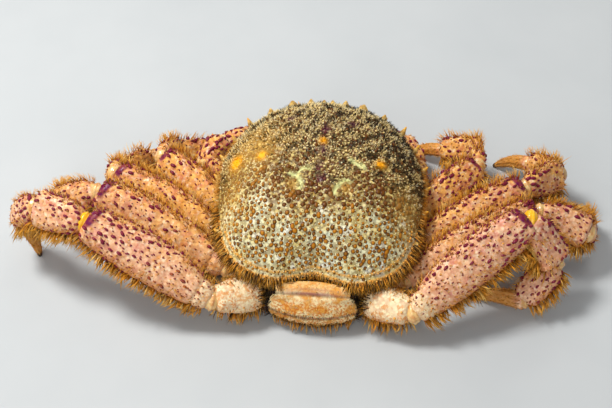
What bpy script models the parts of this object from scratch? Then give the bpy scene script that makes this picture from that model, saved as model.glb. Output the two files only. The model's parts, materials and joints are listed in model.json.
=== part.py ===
# Horsehair crab, life size, lying on its belly with its legs and claws folded.
# +Z is up, +Y is the crab's front and +X is its right side. The belly lies on z = 0, and the
# origin is the middle of its flat, REST_Y behind the middle of the body, where drawing starts.
# Lengths are drawn in millimetres, and each mesh is scaled to metres when it is finished.

import math
import random

import bmesh
import bpy
from mathutils import Matrix, Vector
from mathutils.bvhtree import BVHTree
from mathutils.geometry import delaunay_2d_cdt

MM = 0.001
GAP = 0.3
SEED = 20261128
SHARP_ANGLE = math.radians(42.0)

# Driving sizes of the body, before it is tipped
SHELL_LENGTH = 100.0
SHELL_WIDTH = 97.0
SHELL_REAR = -49.0
SHELL_MIDDLE_Y = -1.0
RIM_HEIGHT = 27.6
RIM_SLOPE = 0.05
DOME_HEIGHT = 22.0
DOME_FALL = 0.6
REAR_FALL = 0.42
FRONT_FALL = 0.26
REAR_REACH = 46.0
SHELL_FLOOR = 18.0
REST_Y = -42.0
BODY_PITCH = math.radians(6.0)
PITCH_POINT = Vector((0.0, -50.0, 0.0))

# Half outline of the shell from the brow to the rear margin: share of half the width, share of
# the length ahead of the rear margin
SHELL_OUTLINE = (
    (0.00, 0.995), (0.13, 1.000), (0.31, 0.978), (0.50, 0.940), (0.68, 0.880), (0.82, 0.790),
    (0.92, 0.690), (0.985, 0.590), (1.00, 0.500), (0.985, 0.390), (0.945, 0.255), (0.85, 0.125),
    (0.67, 0.042), (0.39, 0.000), (0.17, 0.020), (0.00, 0.042),
)
OUTLINE_STEPS = 64
TUBERCLE_GRID = 4.0
TUBERCLE_HEIGHT = 1.1

# Breastplate and belly flap
CHEST_HALF_WIDTH = 28.0
CHEST_BOTTOM = 2.9
CHEST_TOP = SHELL_FLOOR - GAP
CHEST_REAR = -49.0
CHEST_CORNER = (18.0, -41.0)
CHEST_SHOULDER_Y = 14.0
CHEST_FRONT = (15.0, 33.0)
FLAP_THICKNESS = 3.0
FLAP_HALF_WIDTH = 20.6

# Lengths of the joints of each leg pair: coxa is set by its two ends
LEG_LENGTHS = {
    1: {"merus": 50.0, "carpus": 23.0, "propodus": 20.0, "dactyl": 21.0},
    2: {"merus": 66.0, "carpus": 25.0, "propodus": 22.5, "dactyl": 24.0},
    3: {"merus": 70.0, "carpus": 26.0, "propodus": 24.0, "dactyl": 23.5},
    4: {"merus": 67.0, "carpus": 26.0, "propodus": 23.0, "dactyl": 26.5},
}
CLAW_LENGTHS = {"merus": 26.0, "carpus": 18.5, "palm": 30.0, "finger": 17.0}

# Where each pair leaves the chest and where its upper leg starts, on the right side
LEG_ROOTS = {
    1: ((28.0, -7.6, 13.0), (41.0, -9.6, 12.5)),
    2: ((28.0, -21.0, 12.5), (42.0, -23.0, 12.5)),
    3: ((28.0, -34.5, 12.0), (42.0, -37.5, 13.0)),
    4: ((24.0, -47.5, 11.5), (45.5, -58.5, 16.5)),
}
CLAW_ROOT = ((28.0, 6.5, 15.5), (37.5, 9.0, 13.0))

# Pose: for merus, carpus and propodus, degrees of turn towards the front and of lift.
# The last joint turns by its own angle and drops until its tip is on the floor.
LEG_POSE = {
    ("right", 1): ((43, 21), (93, -25), (152, -33), 167),
    ("right", 2): ((30, 16), (40, -14), (129, -26), 145),
    ("right", 3): ((27, 15), (-7, -21), (78, -34), 129),
    ("right", 4): ((36, 24), (-30, -51), (-141, -44), 165),
    ("left", 1): ((34, 19), (97, -38), (161, -16), 190),
    ("left", 2): ((23, 16), (78, -50), (122, -8), 185),
    ("left", 3): ((20, 19), (6, -33), (76, -36), 151),
    ("left", 4): ((18, 24), (18, -5), (30, -45), 209),
}
CLAW_POSE = {
    "right": ((69, 2), (120, 0), (161, -6), (173, -7)),
    "left": ((23, 19), (115, -2), (152, -17), (163, -10)),
}

# Half width and half thickness of each joint at shares of its length
LEG_PROFILES = {
    "coxa": ((0.0, 5.6, 5.2), (0.25, 6.8, 6.4), (0.50, 6.5, 6.0), (0.80, 5.2, 4.8),
             (1.0, 4.6, 4.2)),
    "merus": ((0.0, 5.0, 4.2), (0.10, 7.2, 4.9), (0.32, 10.0, 5.7), (0.60, 10.7, 5.9),
              (0.90, 9.0, 5.4), (1.0, 6.2, 4.4), (1.08, 4.4, 3.2)),
    "carpus": ((-0.2, 3.6, 3.0), (0.0, 5.0, 4.0), (0.25, 7.4, 4.9), (0.65, 8.8, 5.2),
               (0.92, 8.2, 5.0), (1.0, 6.0, 4.4), (1.2, 4.2, 3.2)),
    "propodus": ((-0.2, 3.6, 3.0), (0.0, 5.0, 4.0), (0.25, 7.2, 4.5), (0.7, 6.8, 4.3),
                 (1.0, 4.6, 3.6), (1.2, 3.4, 2.8)),
    "dactyl": ((-0.2, 3.2, 2.6), (0.0, 4.0, 3.3), (0.3, 3.7, 3.1), (0.65, 2.6, 2.3),
               (0.9, 1.4, 1.3), (1.0, 0.7, 0.7)),
}
CLAW_PROFILES = {
    "coxa": ((0.0, 6.6, 6.2), (0.5, 6.8, 6.4), (1.0, 5.4, 5.2)),
    "merus": ((-0.1, 4.2, 3.8), (0.0, 5.4, 5.0), (0.3, 6.6, 5.6), (0.85, 7.6, 6.6),
              (1.0, 6.0, 5.4), (1.15, 4.6, 4.2)),
    "carpus": ((-0.25, 4.0, 3.8), (0.0, 5.6, 5.2), (0.3, 7.8, 6.8), (0.75, 8.6, 7.4),
               (1.0, 6.4, 5.8), (1.2, 5.0, 4.6)),
    "palm": ((-0.15, 4.4, 4.0), (0.0, 6.0, 5.0), (0.25, 8.2, 6.4), (0.7, 8.8, 6.8),
             (0.95, 8.0, 6.2), (1.06, 7.4, 5.6)),
    "finger": ((0.0, 3.4, 3.0), (0.3, 3.3, 2.9), (0.7, 2.5, 2.2), (1.0, 0.8, 0.7)),
}
LEG_SCALE = {1: 0.85, 2: 0.92, 3: 0.96, 4: 1.02}
HIND_COXA_SCALE = 1.28
LIMB_SIDES = 10
SLIM_SIDES = 8
WIDE_TILT = math.radians(40.0)

# Head
EYE_PLACE = (15.0, 47.0, 24.6)
EYE_RADIUS = 2.9
EYE_STALK = 2.3
ANTENNA_ROOT = (8.5, 43.6, 20.0)
ANTENNA_LENGTH = 20.0
JAW_HALF_WIDTH = 8.6
JAW_THICKNESS = 3.4
EYE_SINK = 5.0
FINGER_SPREAD = 3.9

# Belly flap: its middle line seen from the side (y, z), and half widths of its armour with the
# shares of the line, and the thickness there, that each of them holds for
FLAP_LINE = ((-49.9, 23.6), (-55.0, 19.4), (-58.2, 13.8), (-58.8, 7.4), (-55.0, 2.2),
             (-44.0, 0.0), (-32.0, -0.2), (-18.0, 0.6), (-4.0, 1.0), (7.0, 1.0))
FLAP_SIDES = 10
FLAP_CURL = ((0.0, -3.0), (0.06, -0.8), (0.14, 3.4), (0.36, 4.6), (0.50, 1.0), (0.60, 0.0),
             (1.0, 0.0))
FLAP_RINGS = (
    (17.0, ((0.00, 0.80), (0.05, 1.00), (0.065, 0.72))),
    (18.0, ((0.08, 0.80),)),
    (20.6, ((0.23, 1.15), (0.26, 0.72))),
    (20.2, ((0.28, 0.72), (0.36, 1.10), (0.38, 0.72))),
    (16.4, ((0.40, 0.72), (0.48, 1.00), (0.50, 0.72))),
    (14.4, ((0.52, 0.72), (0.60, 0.95), (0.62, 0.70))),
    (12.0, ((0.64, 0.70), (0.77, 0.90), (0.79, 0.66))),
    (8.0, ((0.81, 0.66), (0.90, 0.86))),
    (3.0, ((1.00, 0.60),)),
)

# Bristles, as rows of flat locks. For each joint: the angle of the row on its section (0 is the
# upper edge and 180 the lower), the shares of its length where the row starts and ends, the
# length of the locks and the step between them
COAT = {
    "merus": ((180, 0.08, 0.97, 6.4, 6.5),),
    "carpus": ((180, 0.15, 0.95, 5.2, 5.0),),
    "propodus": ((180, 0.15, 0.92, 4.6, 5.0),),
    "palm": ((165, 0.15, 0.85, 4.0, 5.5),),
    "coxa": ((180, 0.35, 0.90, 5.0, 4.0),),
}
LOCK_WIDTH = 3.4
LOCK_THICKNESS = 1.2
LOCK_SECTIONS = ((0.0, 1.0, 1.0), (0.42, 0.88, 0.85), (0.76, 0.52, 0.60))
LOCK_SINK = 1.5
LEAST_LOCK = 1.8
SHELL_FRINGE = (0.34, 0.95, 6.4, 4.6)
FLAP_FRINGES = ((0.365, 15.0, 4.6), (0.235, 16.5, 3.0))

# Spines: the same, with the length and the step between them
SPINES = {
    "merus": ((-12, 0.12, 0.90, 3.0, 9.0), (35, 0.93, 0.94, 2.6, 9.0), (-60, 0.93, 0.94, 2.6, 9.0)),
    "carpus": ((-20, 0.18, 0.90, 3.4, 6.5), (22, 0.35, 0.90, 3.0, 8.0)),
    "propodus": ((-15, 0.20, 0.85, 2.6, 7.0),),
    "palm": ((-20, 0.12, 0.92, 3.2, 7.0), (22, 0.12, 0.92, 3.0, 7.0)),
}
SPINE_SINK = 1.3
SPINE_RADIUS = 1.15
SPINE_SIDES = 5
TOOTH_RADIUS = 2.0

# Teeth on the edge of the shell: share of the outline from the brow, length and lean upwards
SHELL_TEETH = ((0.030, 3.0, 0.5), (0.085, 3.4, 0.6), (0.150, 4.2, 0.9), (0.225, 3.8, 0.8),
               (0.300, 4.0, 0.7), (0.370, 4.0, 0.6), (0.445, 3.6, 0.5), (0.52, 3.2, 0.4),
               (0.60, 2.8, 0.3), (0.68, 2.6, 0.3))

FINISHES = {
    "shell": ((0.62, 0.60, 0.42, 1.0), 0.55),
    "leg": ((0.80, 0.50, 0.36, 1.0), 0.50),
    "belly": ((0.85, 0.70, 0.45, 1.0), 0.50),
    "eye": ((0.02, 0.015, 0.012, 1.0), 0.15),
    "claw": ((0.10, 0.05, 0.03, 1.0), 0.35),
}

for thing in list(bpy.data.objects):
    bpy.data.objects.remove(thing, do_unlink=True)
parts = bpy.data.collections.new("horsehair_crab")
bpy.context.scene.collection.children.link(parts)
crab = bpy.data.objects.new("crab_centre", None)
crab.location = (0.0, -REST_Y * MM, 0.0)
parts.objects.link(crab)


def tip(point):
    """A point of the level body, moved to where the tipped body has it."""
    turn = Matrix.Rotation(BODY_PITCH, 4, "X")
    return PITCH_POINT + turn @ (Vector(point) - PITCH_POINT)


def tip_turn(line):
    """A direction on the level body, turned as the tipped body turns it."""
    return Matrix.Rotation(BODY_PITCH, 3, "X") @ Vector(line)


def lerp(a, b, t):
    return a + (b - a) * t


def along_table(table, share):
    """Value at a share, from straight runs between the (share, value) pairs of a table."""
    for (a, low), (b, high) in zip(table, table[1:]):
        if share <= b:
            return lerp(low, high, (share - a) / (b - a))
    return table[-1][1]


def to_mesh(name, points, faces):
    mesh = bpy.data.meshes.new(name)
    mesh.from_pydata([tuple(p) for p in points], [], faces)
    mesh.update()
    return mesh


def rings_to_mesh(name, rings, point=None):
    """Closed body through rings of equal point counts, flat at either end or drawn to a point."""
    sides = len(rings[0])
    points = [p for ring in rings for p in ring]
    faces = []
    for k in range(len(rings) - 1):
        for i in range(sides):
            j = (i + 1) % sides
            faces.append((k * sides + i, k * sides + j, (k + 1) * sides + j, (k + 1) * sides + i))
    faces.append(tuple(reversed(range(sides))))
    last = (len(rings) - 1) * sides
    if point is None:
        faces.append(tuple(last + i for i in range(sides)))
    else:
        faces += [(last + i, last + (i + 1) % sides, len(points)) for i in range(sides)]
        points.append(point)
    mesh = to_mesh(name, points, faces)
    tidy(mesh)
    return mesh


def tidy(mesh):
    """Split the faces into triangles that all look outwards."""
    body = bmesh.new()
    body.from_mesh(mesh)
    bmesh.ops.triangulate(body, faces=body.faces)
    bmesh.ops.recalc_face_normals(body, faces=body.faces)
    body.to_mesh(mesh)
    body.free()


def cut(mesh, point, normal):
    """Remove what lies beyond a plane and close the cut with a flat face."""
    body = bmesh.new()
    body.from_mesh(mesh)
    everything = body.verts[:] + body.edges[:] + body.faces[:]
    bmesh.ops.bisect_plane(body, geom=everything, plane_co=point, plane_no=normal,
                           dist=1e-4, clear_outer=True)
    rim = [e for e in body.edges if e.is_boundary]
    bmesh.ops.holes_fill(body, edges=rim, sides=0)
    bmesh.ops.triangulate(body, faces=body.faces)
    bmesh.ops.recalc_face_normals(body, faces=body.faces)
    body.to_mesh(mesh)
    body.free()


def largest_body(mesh):
    """Keep only the largest closed surface of a mesh."""
    body = bmesh.new()
    body.from_mesh(mesh)
    left = set(body.faces)
    islands = []
    while left:
        stack = [left.pop()]
        island = list(stack)
        while stack:
            for edge in stack.pop().edges:
                for face in edge.link_faces:
                    if face in left:
                        left.remove(face)
                        stack.append(face)
                        island.append(face)
        islands.append(island)
    islands.sort(key=lambda faces: sum(f.calc_area() for f in faces))
    for island in islands[:-1]:
        bmesh.ops.delete(body, geom=island, context="FACES")
    bmesh.ops.triangulate(body, faces=body.faces)
    body.to_mesh(mesh)
    body.free()


def combine(mesh, pieces, operation="UNION"):
    """Join the pieces to a mesh, or take them away from it, in one Boolean."""
    base = bpy.data.objects.new("base", mesh)
    bpy.context.scene.collection.objects.link(base)
    group = bpy.data.collections.new("pieces")
    bpy.context.scene.collection.children.link(group)
    for k, piece in enumerate(pieces):
        group.objects.link(bpy.data.objects.new("piece_%d" % k, piece))
    modifier = base.modifiers.new("join", "BOOLEAN")
    modifier.operation = operation
    modifier.operand_type = "COLLECTION"
    modifier.collection = group
    modifier.solver = "MANIFOLD"
    shape = base.evaluated_get(bpy.context.evaluated_depsgraph_get())
    joined = bpy.data.meshes.new_from_object(shape)
    for thing in list(group.objects) + [base]:
        bpy.data.objects.remove(thing, do_unlink=True)
    bpy.data.collections.remove(group)
    joined.materials.clear()
    largest_body(joined)
    return joined


def place(name, mesh, finish, origin):
    """Scale a finished mesh to metres and stand it in the scene as a part of the crab."""
    mesh.transform(Matrix.Scale(MM, 4) @ Matrix.Translation(-Vector(origin)))
    mesh.name = name
    mesh.shade_smooth()
    mesh.set_sharp_from_angle(angle=SHARP_ANGLE)
    colour, roughness = FINISHES[finish]
    material = bpy.data.materials.new(name + "_" + finish)
    material.use_nodes = True
    shader = material.node_tree.nodes["Principled BSDF"]
    shader.inputs["Base Color"].default_value = colour
    shader.inputs["Roughness"].default_value = roughness
    shader.inputs["Metallic"].default_value = 0.0
    mesh.materials.append(material)
    thing = bpy.data.objects.new(name, mesh)
    parts.objects.link(thing)
    thing.location = Vector(origin) * MM
    thing.parent = crab
    return thing


# Shell

def half_outline_point(share):
    """Point of the right half outline at a share of its length of points, as a smooth curve."""
    last = len(SHELL_OUTLINE) - 1
    k = min(int(share * last), last - 1)
    t = share * last - k
    p0, p1, p2, p3 = (SHELL_OUTLINE[min(max(k + d, 0), last)] for d in (-1, 0, 1, 2))
    x, y = (0.5 * (2 * b + (c - a) * t + (2 * a - 5 * b + 4 * c - d) * t * t
                   + (3 * b - a - 3 * c + d) * t ** 3) for a, b, c, d in zip(p0, p1, p2, p3))
    return Vector((x * SHELL_WIDTH / 2, SHELL_REAR + y * SHELL_LENGTH))


def shell_outline(steps):
    """Whole outline as a closed ring, clockwise from the brow."""
    half = steps // 2
    right = [half_outline_point(k / half) for k in range(half + 1)]
    left = [Vector((-p.x, p.y)) for p in reversed(right[1:-1])]
    return right + left


def rim_distance(angle, outline):
    """Distance from the shell's middle to its outline in one direction."""
    centre = Vector((0.0, SHELL_MIDDLE_Y))
    ray = Vector((math.sin(angle), math.cos(angle)))
    best = 0.0
    for a, b in zip(outline, outline[1:] + outline[:1]):
        a, b = a - centre, b - centre
        side = b - a
        det = ray.x * -side.y + ray.y * side.x
        if abs(det) < 1e-9:
            continue
        reach = (a.x * -side.y + a.y * side.x) / det
        along = (ray.x * a.y - ray.y * a.x) / det
        if -1e-6 <= along <= 1 + 1e-6 and reach > best:
            best = reach
    return best


def relief(x, y):
    """Low swellings of the stomach, heart and gill regions, and the furrows between them."""
    swells = ((0, 20, 17, 14, 1.2), (0, -22, 12, 9, 1.0), (24, 0, 12, 20, 0.9),
              (11.5, -6, 3, 9, -1.0), (19, 15, 6, 4, -0.8), (17, 36, 5, 7, 2.2),
              (0, 38, 7, 9, 2.4), (33, 22, 6, 8, 1.6), (10.0, 33, 2.6, 9, -1.0))
    height = 0.0
    for cx, cy, wide, long, lift in swells:
        height += lift * math.exp(-((abs(x) - cx) / wide) ** 2 - ((y - cy) / long) ** 2)
    return height


def shell_height(x, y, share):
    rim = RIM_HEIGHT + RIM_SLOPE * y
    rearward = min(1.0, max(0.0, (SHELL_MIDDLE_Y - y) / REAR_REACH))
    forward = min(1.0, max(0.0, (y - SHELL_MIDDLE_Y) / REAR_REACH))
    fall = DOME_FALL + REAR_FALL * rearward ** 2 + FRONT_FALL * forward ** 2
    dome = max(0.0, 1.0 - share ** 2.5) ** fall
    return rim + DOME_HEIGHT * dome + relief(x, y) * min(1.0, 4 * (1 - share))


def shell_share(x, y, outline):
    """How far out a point lies: 0 in the middle of the shell and 1 on its rim."""
    out = Vector((x, y - SHELL_MIDDLE_Y))
    if out.length < 1e-6:
        return 0.0
    return out.length / rim_distance(math.atan2(out.x, out.y), outline)


def shell_point(x, y, outline):
    """Point on the dome and the direction that it faces."""
    step = 0.4
    here = shell_height(x, y, shell_share(x, y, outline))
    slope_x = (shell_height(x + step, y, shell_share(x + step, y, outline)) - here) / step
    slope_y = (shell_height(x, y + step, shell_share(x, y + step, outline)) - here) / step
    return Vector((x, y, here)), Vector((-slope_x, -slope_y, 1.0)).normalized()


def shell_mesh():
    """Domed back with raised tubercles, and the walls that fold in under it."""
    draw = random.Random(SEED)
    outline = shell_outline(OUTLINE_STEPS)
    flat = [p.copy() for p in outline]
    heights = [RIM_HEIGHT + RIM_SLOPE * p.y for p in outline]
    rows = int(SHELL_LENGTH / TUBERCLE_GRID) + 2
    for row in range(-rows, rows):
        for column in range(-rows, rows):
            x = (column + 0.5 * (row % 2)) * TUBERCLE_GRID
            y = row * TUBERCLE_GRID * math.sin(math.radians(60.0))
            jitter = 0.16 * TUBERCLE_GRID
            x, y = x + draw.uniform(-jitter, jitter), y + draw.uniform(-jitter, jitter)
            share = shell_share(x, y, outline)
            if share > 0.955:
                continue
            point, normal = shell_point(x, y, outline)
            raised = (column - row // 2 + 2 * row) % 3 == 0
            if raised:
                point += normal * TUBERCLE_HEIGHT * draw.uniform(0.8, 1.2)
            flat.append(Vector((point.x, point.y)))
            heights.append(point.z)
    ring = list(range(OUTLINE_STEPS))
    rim_edges = [(k, (k + 1) % OUTLINE_STEPS) for k in ring]
    spots, _, faces, origin, _, _ = delaunay_2d_cdt(flat, rim_edges, [], 1, 1e-5)
    height_of = [heights[source[0]] for source in origin]
    points = [Vector((p.x, p.y, h)) for p, h in zip(spots, height_of)]
    rim = [next(k for k, source in enumerate(origin) if n in source) for n in ring]
    faces = [tuple(f) for f in faces]
    below = rim
    for inset, drop in ((1.2, 0.25), (5.0, 0.6), (1.0, 1.0)):
        start = len(points)
        for k in ring:
            edge = outline[(k + 1) % OUTLINE_STEPS] - outline[k - 1]
            inward = Vector((edge.y, -edge.x)).normalized()
            inward = inward if inward.dot(outline[k]) < 0 else -inward
            depth = inset if drop < 1.0 else lerp(4.0, 17.0, inward.x ** 2)
            if outline[k].y < 0 and drop < 1.0:
                depth *= lerp(0.35, 1.0, abs(inward.x))
            spot = outline[k] + inward * depth
            top = RIM_HEIGHT + RIM_SLOPE * outline[k].y
            points.append(Vector((spot.x, spot.y, lerp(top, SHELL_FLOOR, drop))))
        lower = list(range(start, start + OUTLINE_STEPS))
        for k in ring:
            n = (k + 1) % OUTLINE_STEPS
            faces.append((below[k], below[n], lower[n], lower[k]))
        below = lower
    faces.append(tuple(below))
    mesh = to_mesh("carapace", [tip(p) for p in points], faces)
    tidy(mesh)
    return mesh


# Limbs

class Limb:
    """One joint of a leg: a body of rounded sections along a straight or bowed line."""

    def __init__(self, start, end, profile, wide, scale=1.0, bow=0.0, sides=LIMB_SIDES):
        self.start = Vector(start)
        self.end = Vector(end)
        self.axis = (self.end - self.start).normalized()
        self.wide = (Vector(wide) - self.axis * self.axis.dot(Vector(wide))).normalized()
        self.thin = self.axis.cross(self.wide)
        self.profile = profile
        self.scale = scale
        self.bow = bow
        self.sides = sides

    def centre(self, t):
        arch = self.bow * 4.0 * t * (1.0 - t)
        return self.start.lerp(self.end, t) + self.wide * arch

    def half_sizes(self, t):
        stations = self.profile
        for (t0, w0, h0), (t1, w1, h1) in zip(stations, stations[1:]):
            if t <= t1 or t1 == stations[-1][0]:
                u = (t - t0) / (t1 - t0)
                return lerp(w0, w1, u) * self.scale, lerp(h0, h1, u) * self.scale
        return stations[-1][1:]

    def surface(self, t, angle):
        """Point on the skin and the direction that it faces; angle 0 is the upper edge."""
        wide, thin = self.half_sizes(t)
        c, s = math.cos(angle), math.sin(angle)
        reach_w = math.copysign(abs(c) ** 0.85, c) * wide
        reach_t = math.copysign(abs(s) ** 0.85, s) * thin
        out = self.wide * (c / wide) + self.thin * (s / thin)
        return self.centre(t) + self.wide * reach_w + self.thin * reach_t, out.normalized()

    def mesh(self, name):
        rings = []
        for t, _, _ in self.profile:
            turn = 2.0 * math.pi / self.sides
            rings.append([self.surface(t, (k + 0.5) * turn)[0] for k in range(self.sides)])
        return rings_to_mesh(name, rings)


def direction(side, turn, lift):
    """Unit vector of a leg joint: turn 0 points out sideways and 90 to the front."""
    turn, lift = math.radians(turn), math.radians(lift)
    return Vector((side * math.cos(turn) * math.cos(lift), math.sin(turn) * math.cos(lift),
                   math.sin(lift)))


def joint_plane(before, after):
    """Normal of the plane in which two joints meet."""
    return (before + after).normalized()


def leg_limbs(side_name, number):
    """The five joints of one walking leg, with the planes where they meet."""
    side = 1.0 if side_name == "right" else -1.0
    root, start = (Vector((side * p[0], p[1], p[2])) for p in LEG_ROOTS[number])
    merus, carpus, propodus, last_turn = LEG_POSE[side_name, number]
    lengths = LEG_LENGTHS[number]
    scale = LEG_SCALE[number]
    knots = [root, start]
    for joint, (turn, lift) in zip(("merus", "carpus", "propodus"), (merus, carpus, propodus)):
        knots.append(knots[-1] + direction(side, turn, lift) * lengths[joint])
    drop = math.degrees(math.asin(max(-1.0, (0.1 - knots[-1].z) / lengths["dactyl"])))
    knots.append(knots[-1] + direction(side, last_turn, drop) * lengths["dactyl"])
    wide = Vector((0.0, math.sin(WIDE_TILT), math.cos(WIDE_TILT)))
    limbs = {}
    for k, joint in enumerate(("coxa", "merus", "carpus", "propodus", "dactyl")):
        size = HIND_COXA_SCALE if (joint, number) == ("coxa", 4) else scale
        bow = {"dactyl": 1.6, "merus": 0.8}.get(joint, 0.0)
        sides = LIMB_SIDES if joint in ("merus", "carpus") else SLIM_SIDES
        limbs[joint] = Limb(knots[k], knots[k + 1], LEG_PROFILES[joint], wide, size, bow, sides)
    return limbs, knots


def claw_limbs(side_name):
    """The joints of one claw leg: coxa, merus, carpus, palm and the finger that moves."""
    side = 1.0 if side_name == "right" else -1.0
    root, start = (Vector((side * p[0], p[1], p[2])) for p in CLAW_ROOT)
    knots = [root, start]
    for joint, (turn, lift) in zip(("merus", "carpus", "palm", "finger"), CLAW_POSE[side_name]):
        knots.append(knots[-1] + direction(side, turn, lift) * CLAW_LENGTHS[joint])
    wide = Vector((0.0, 0.0, 1.0))
    limbs = {}
    for k, joint in enumerate(("coxa", "merus", "carpus", "palm")):
        limbs[joint] = Limb(knots[k], knots[k + 1], CLAW_PROFILES[joint], wide)
    palm = limbs["palm"]
    for joint, rise, bow in (("fixed", -FINGER_SPREAD, -1.4), ("finger", FINGER_SPREAD, 1.4)):
        base = knots[4] + palm.wide * rise
        limbs[joint] = Limb(base - palm.axis * 4.0, knots[5] + palm.wide * (0.45 * rise),
                            CLAW_PROFILES["finger"], wide, 1.0, bow)
    return limbs, knots


# Chest, belly flap and head

def chest_mesh():
    """Breastplate: a low prism whose sides face the legs, narrowing to the mouth frame."""
    corner_x, shoulder_y = CHEST_HALF_WIDTH, CHEST_SHOULDER_Y
    half = [(CHEST_CORNER[0], CHEST_REAR), (corner_x, CHEST_CORNER[1]), (corner_x, shoulder_y),
            CHEST_FRONT]
    outline = [Vector(p) for p in half] + [Vector((-x, y)) for x, y in reversed(half)]
    rings = []
    for share, height in ((0.82, CHEST_BOTTOM), (0.97, CHEST_BOTTOM + 2.6), (1.0, 8.0),
                          (1.0, CHEST_TOP)):
        middle = Vector((0.0, -8.0))
        spots = [middle + (p - middle) * share for p in outline]
        rings.append([tip((p.x, p.y, height)) for p in spots])
    return rings_to_mesh("thorax", rings)


def flap_path(share):
    """Middle line of the belly flap, from the rear margin of the shell round under the body."""
    line = FLAP_LINE
    place_on = share * (len(line) - 1)
    k = min(int(place_on), len(line) - 2)
    t = place_on - k
    p0, p1, p2, p3 = (line[min(max(k + d, 0), len(line) - 1)] for d in (-1, 0, 1, 2))
    return Vector([0.5 * (2 * b + (c - a) * t + (2 * a - 5 * b + 4 * c - d) * t * t
                          + (3 * b - a - 3 * c + d) * t ** 3) for a, b, c, d in zip(p0, p1, p2, p3)])


def flap_mesh():
    """Belly flap: six rings of armour and the tail plate, each with a raised rear edge."""
    rings = []
    for wide, steps in FLAP_RINGS:
        for share, swell in steps:
            here = flap_path(share)
            ahead = flap_path(min(share + 0.01, 1.0)) - flap_path(max(share - 0.01, 0.0))
            along = Vector((0.0, ahead.x, ahead.y)).normalized()
            out = along.cross(Vector((1.0, 0.0, 0.0)))
            thick = FLAP_THICKNESS / 2 * swell
            curl = along_table(FLAP_CURL, share)
            ring = []
            for n in range(FLAP_SIDES):
                angle = 2 * math.pi * (n + 0.5) / FLAP_SIDES
                c, s = math.cos(angle), math.sin(angle)
                across = math.copysign(abs(c) ** 0.75, c) * wide
                up = math.copysign(abs(s) ** 0.6, s) * thick
                edge = (across / wide) ** 2
                middle = min(0.0, curl) * (edge - 1.0)
                spot = Vector((across, here.x + max(0.0, curl) * edge + middle, here.y))
                ring.append(tip(spot + out * up))
            rings.append(ring)
    return rings_to_mesh("abdomen", rings)


def turned(name, profile, base, along, steps=10):
    """Body turned from a profile of (radius, height) pairs, standing on a point."""
    line = bpy.data.meshes.new(name)
    points = [(r, 0.0, h) for r, h in reversed(profile)]
    line.from_pydata(points, [(k, k + 1) for k in range(len(points) - 1)], [])
    thing = bpy.data.objects.new(name, line)
    bpy.context.scene.collection.objects.link(thing)
    screw = thing.modifiers.new("turn", "SCREW")
    screw.steps = steps
    screw.render_steps = steps
    screw.use_merge_vertices = True
    screw.merge_threshold = 1e-4
    shape = thing.evaluated_get(bpy.context.evaluated_depsgraph_get())
    mesh = bpy.data.meshes.new_from_object(shape)
    bpy.data.objects.remove(thing, do_unlink=True)
    tidy(mesh)
    turn = Vector((0.0, 0.0, 1.0)).rotation_difference(Vector(along)).to_matrix().to_4x4()
    mesh.transform(Matrix.Translation(Vector(base)) @ turn)
    return mesh


def eye_line(side):
    """Where an eye sits in its socket, and the way that it looks."""
    place_of_ball = tip((side * EYE_PLACE[0], EYE_PLACE[1], EYE_PLACE[2]))
    look = tip_turn((side * 0.45, 1.0, 0.10)).normalized()
    return place_of_ball, look


def eye_mesh(name, side):
    ball, look = eye_line(side)
    profile = [(0.0, -EYE_SINK), (EYE_STALK, -EYE_SINK), (EYE_STALK, -EYE_RADIUS * 0.8)]
    for k in range(2, 7):
        angle = math.pi * k / 6
        profile.append((EYE_RADIUS * math.sin(angle), -EYE_RADIUS * math.cos(angle)))
    profile[-1] = (0.0, EYE_RADIUS)
    return turned(name, profile, ball, look)


def socket_mesh(side):
    """Cutter for one eye socket in the shell's front."""
    ball, look = eye_line(side)
    reach = EYE_RADIUS + 0.9
    profile = [(0.0, -EYE_SINK - GAP), (reach * 0.8, -EYE_SINK - GAP), (reach, -1.0),
               (reach * 1.15, 9.0), (0.0, 9.0)]
    return turned("socket", profile, ball, look)


def antenna_line(side):
    """Where a feeler starts in its socket, and the way that it points."""
    root = tip((side * ANTENNA_ROOT[0], ANTENNA_ROOT[1], ANTENNA_ROOT[2]))
    return root, tip_turn((side * 0.42, 1.0, -0.05)).normalized()


def antenna_socket(side):
    """Cutter for the socket of one feeler."""
    root, along = antenna_line(side)
    profile = [(0.0, -GAP), (2.3, -GAP), (2.3, 9.0), (0.0, 9.0)]
    return turned("socket", profile, root, along, 10)


def antenna_mesh(name, side):
    root, along = antenna_line(side)
    stations = ((0.0, 1.5, 1.4), (0.10, 1.7, 1.5), (0.13, 1.2, 1.2), (0.26, 1.4, 1.3),
                (0.29, 0.9, 0.9), (0.42, 0.9, 0.9), (0.46, 0.6, 0.6), (1.0, 0.28, 0.28))
    feeler = Limb(root, root + along * ANTENNA_LENGTH, stations, (0, 0, 1), 1.0, 0.5, 6)
    return feeler.mesh(name)


def jaw_mesh(name, side):
    """Outer jaw plate that closes one half of the mouth."""
    middle = side * (JAW_HALF_WIDTH / 2 + GAP / 2)
    rings = []
    for height, share in ((3.6, 0.55), (5.5, 0.85), (9.0, 1.0), (14.0, 1.0), (17.2, 0.8)):
        half = JAW_HALF_WIDTH / 2 * share
        ring = []
        for n in range(8):
            angle = 2 * math.pi * (n + 0.5) / 8
            across = math.cos(angle) * half / math.cos(math.pi / 8)
            deep = math.sin(angle) * JAW_THICKNESS / 2 / math.cos(math.pi / 8)
            lean = (height - 3.6) * 0.12
            forward = CHEST_FRONT[1] + GAP + JAW_THICKNESS / 2 + lean
            ring.append(tip((middle + across, forward + deep, height)))
        rings.append(ring)
    return rings_to_mesh(name, rings)


# Teeth and coat

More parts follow.
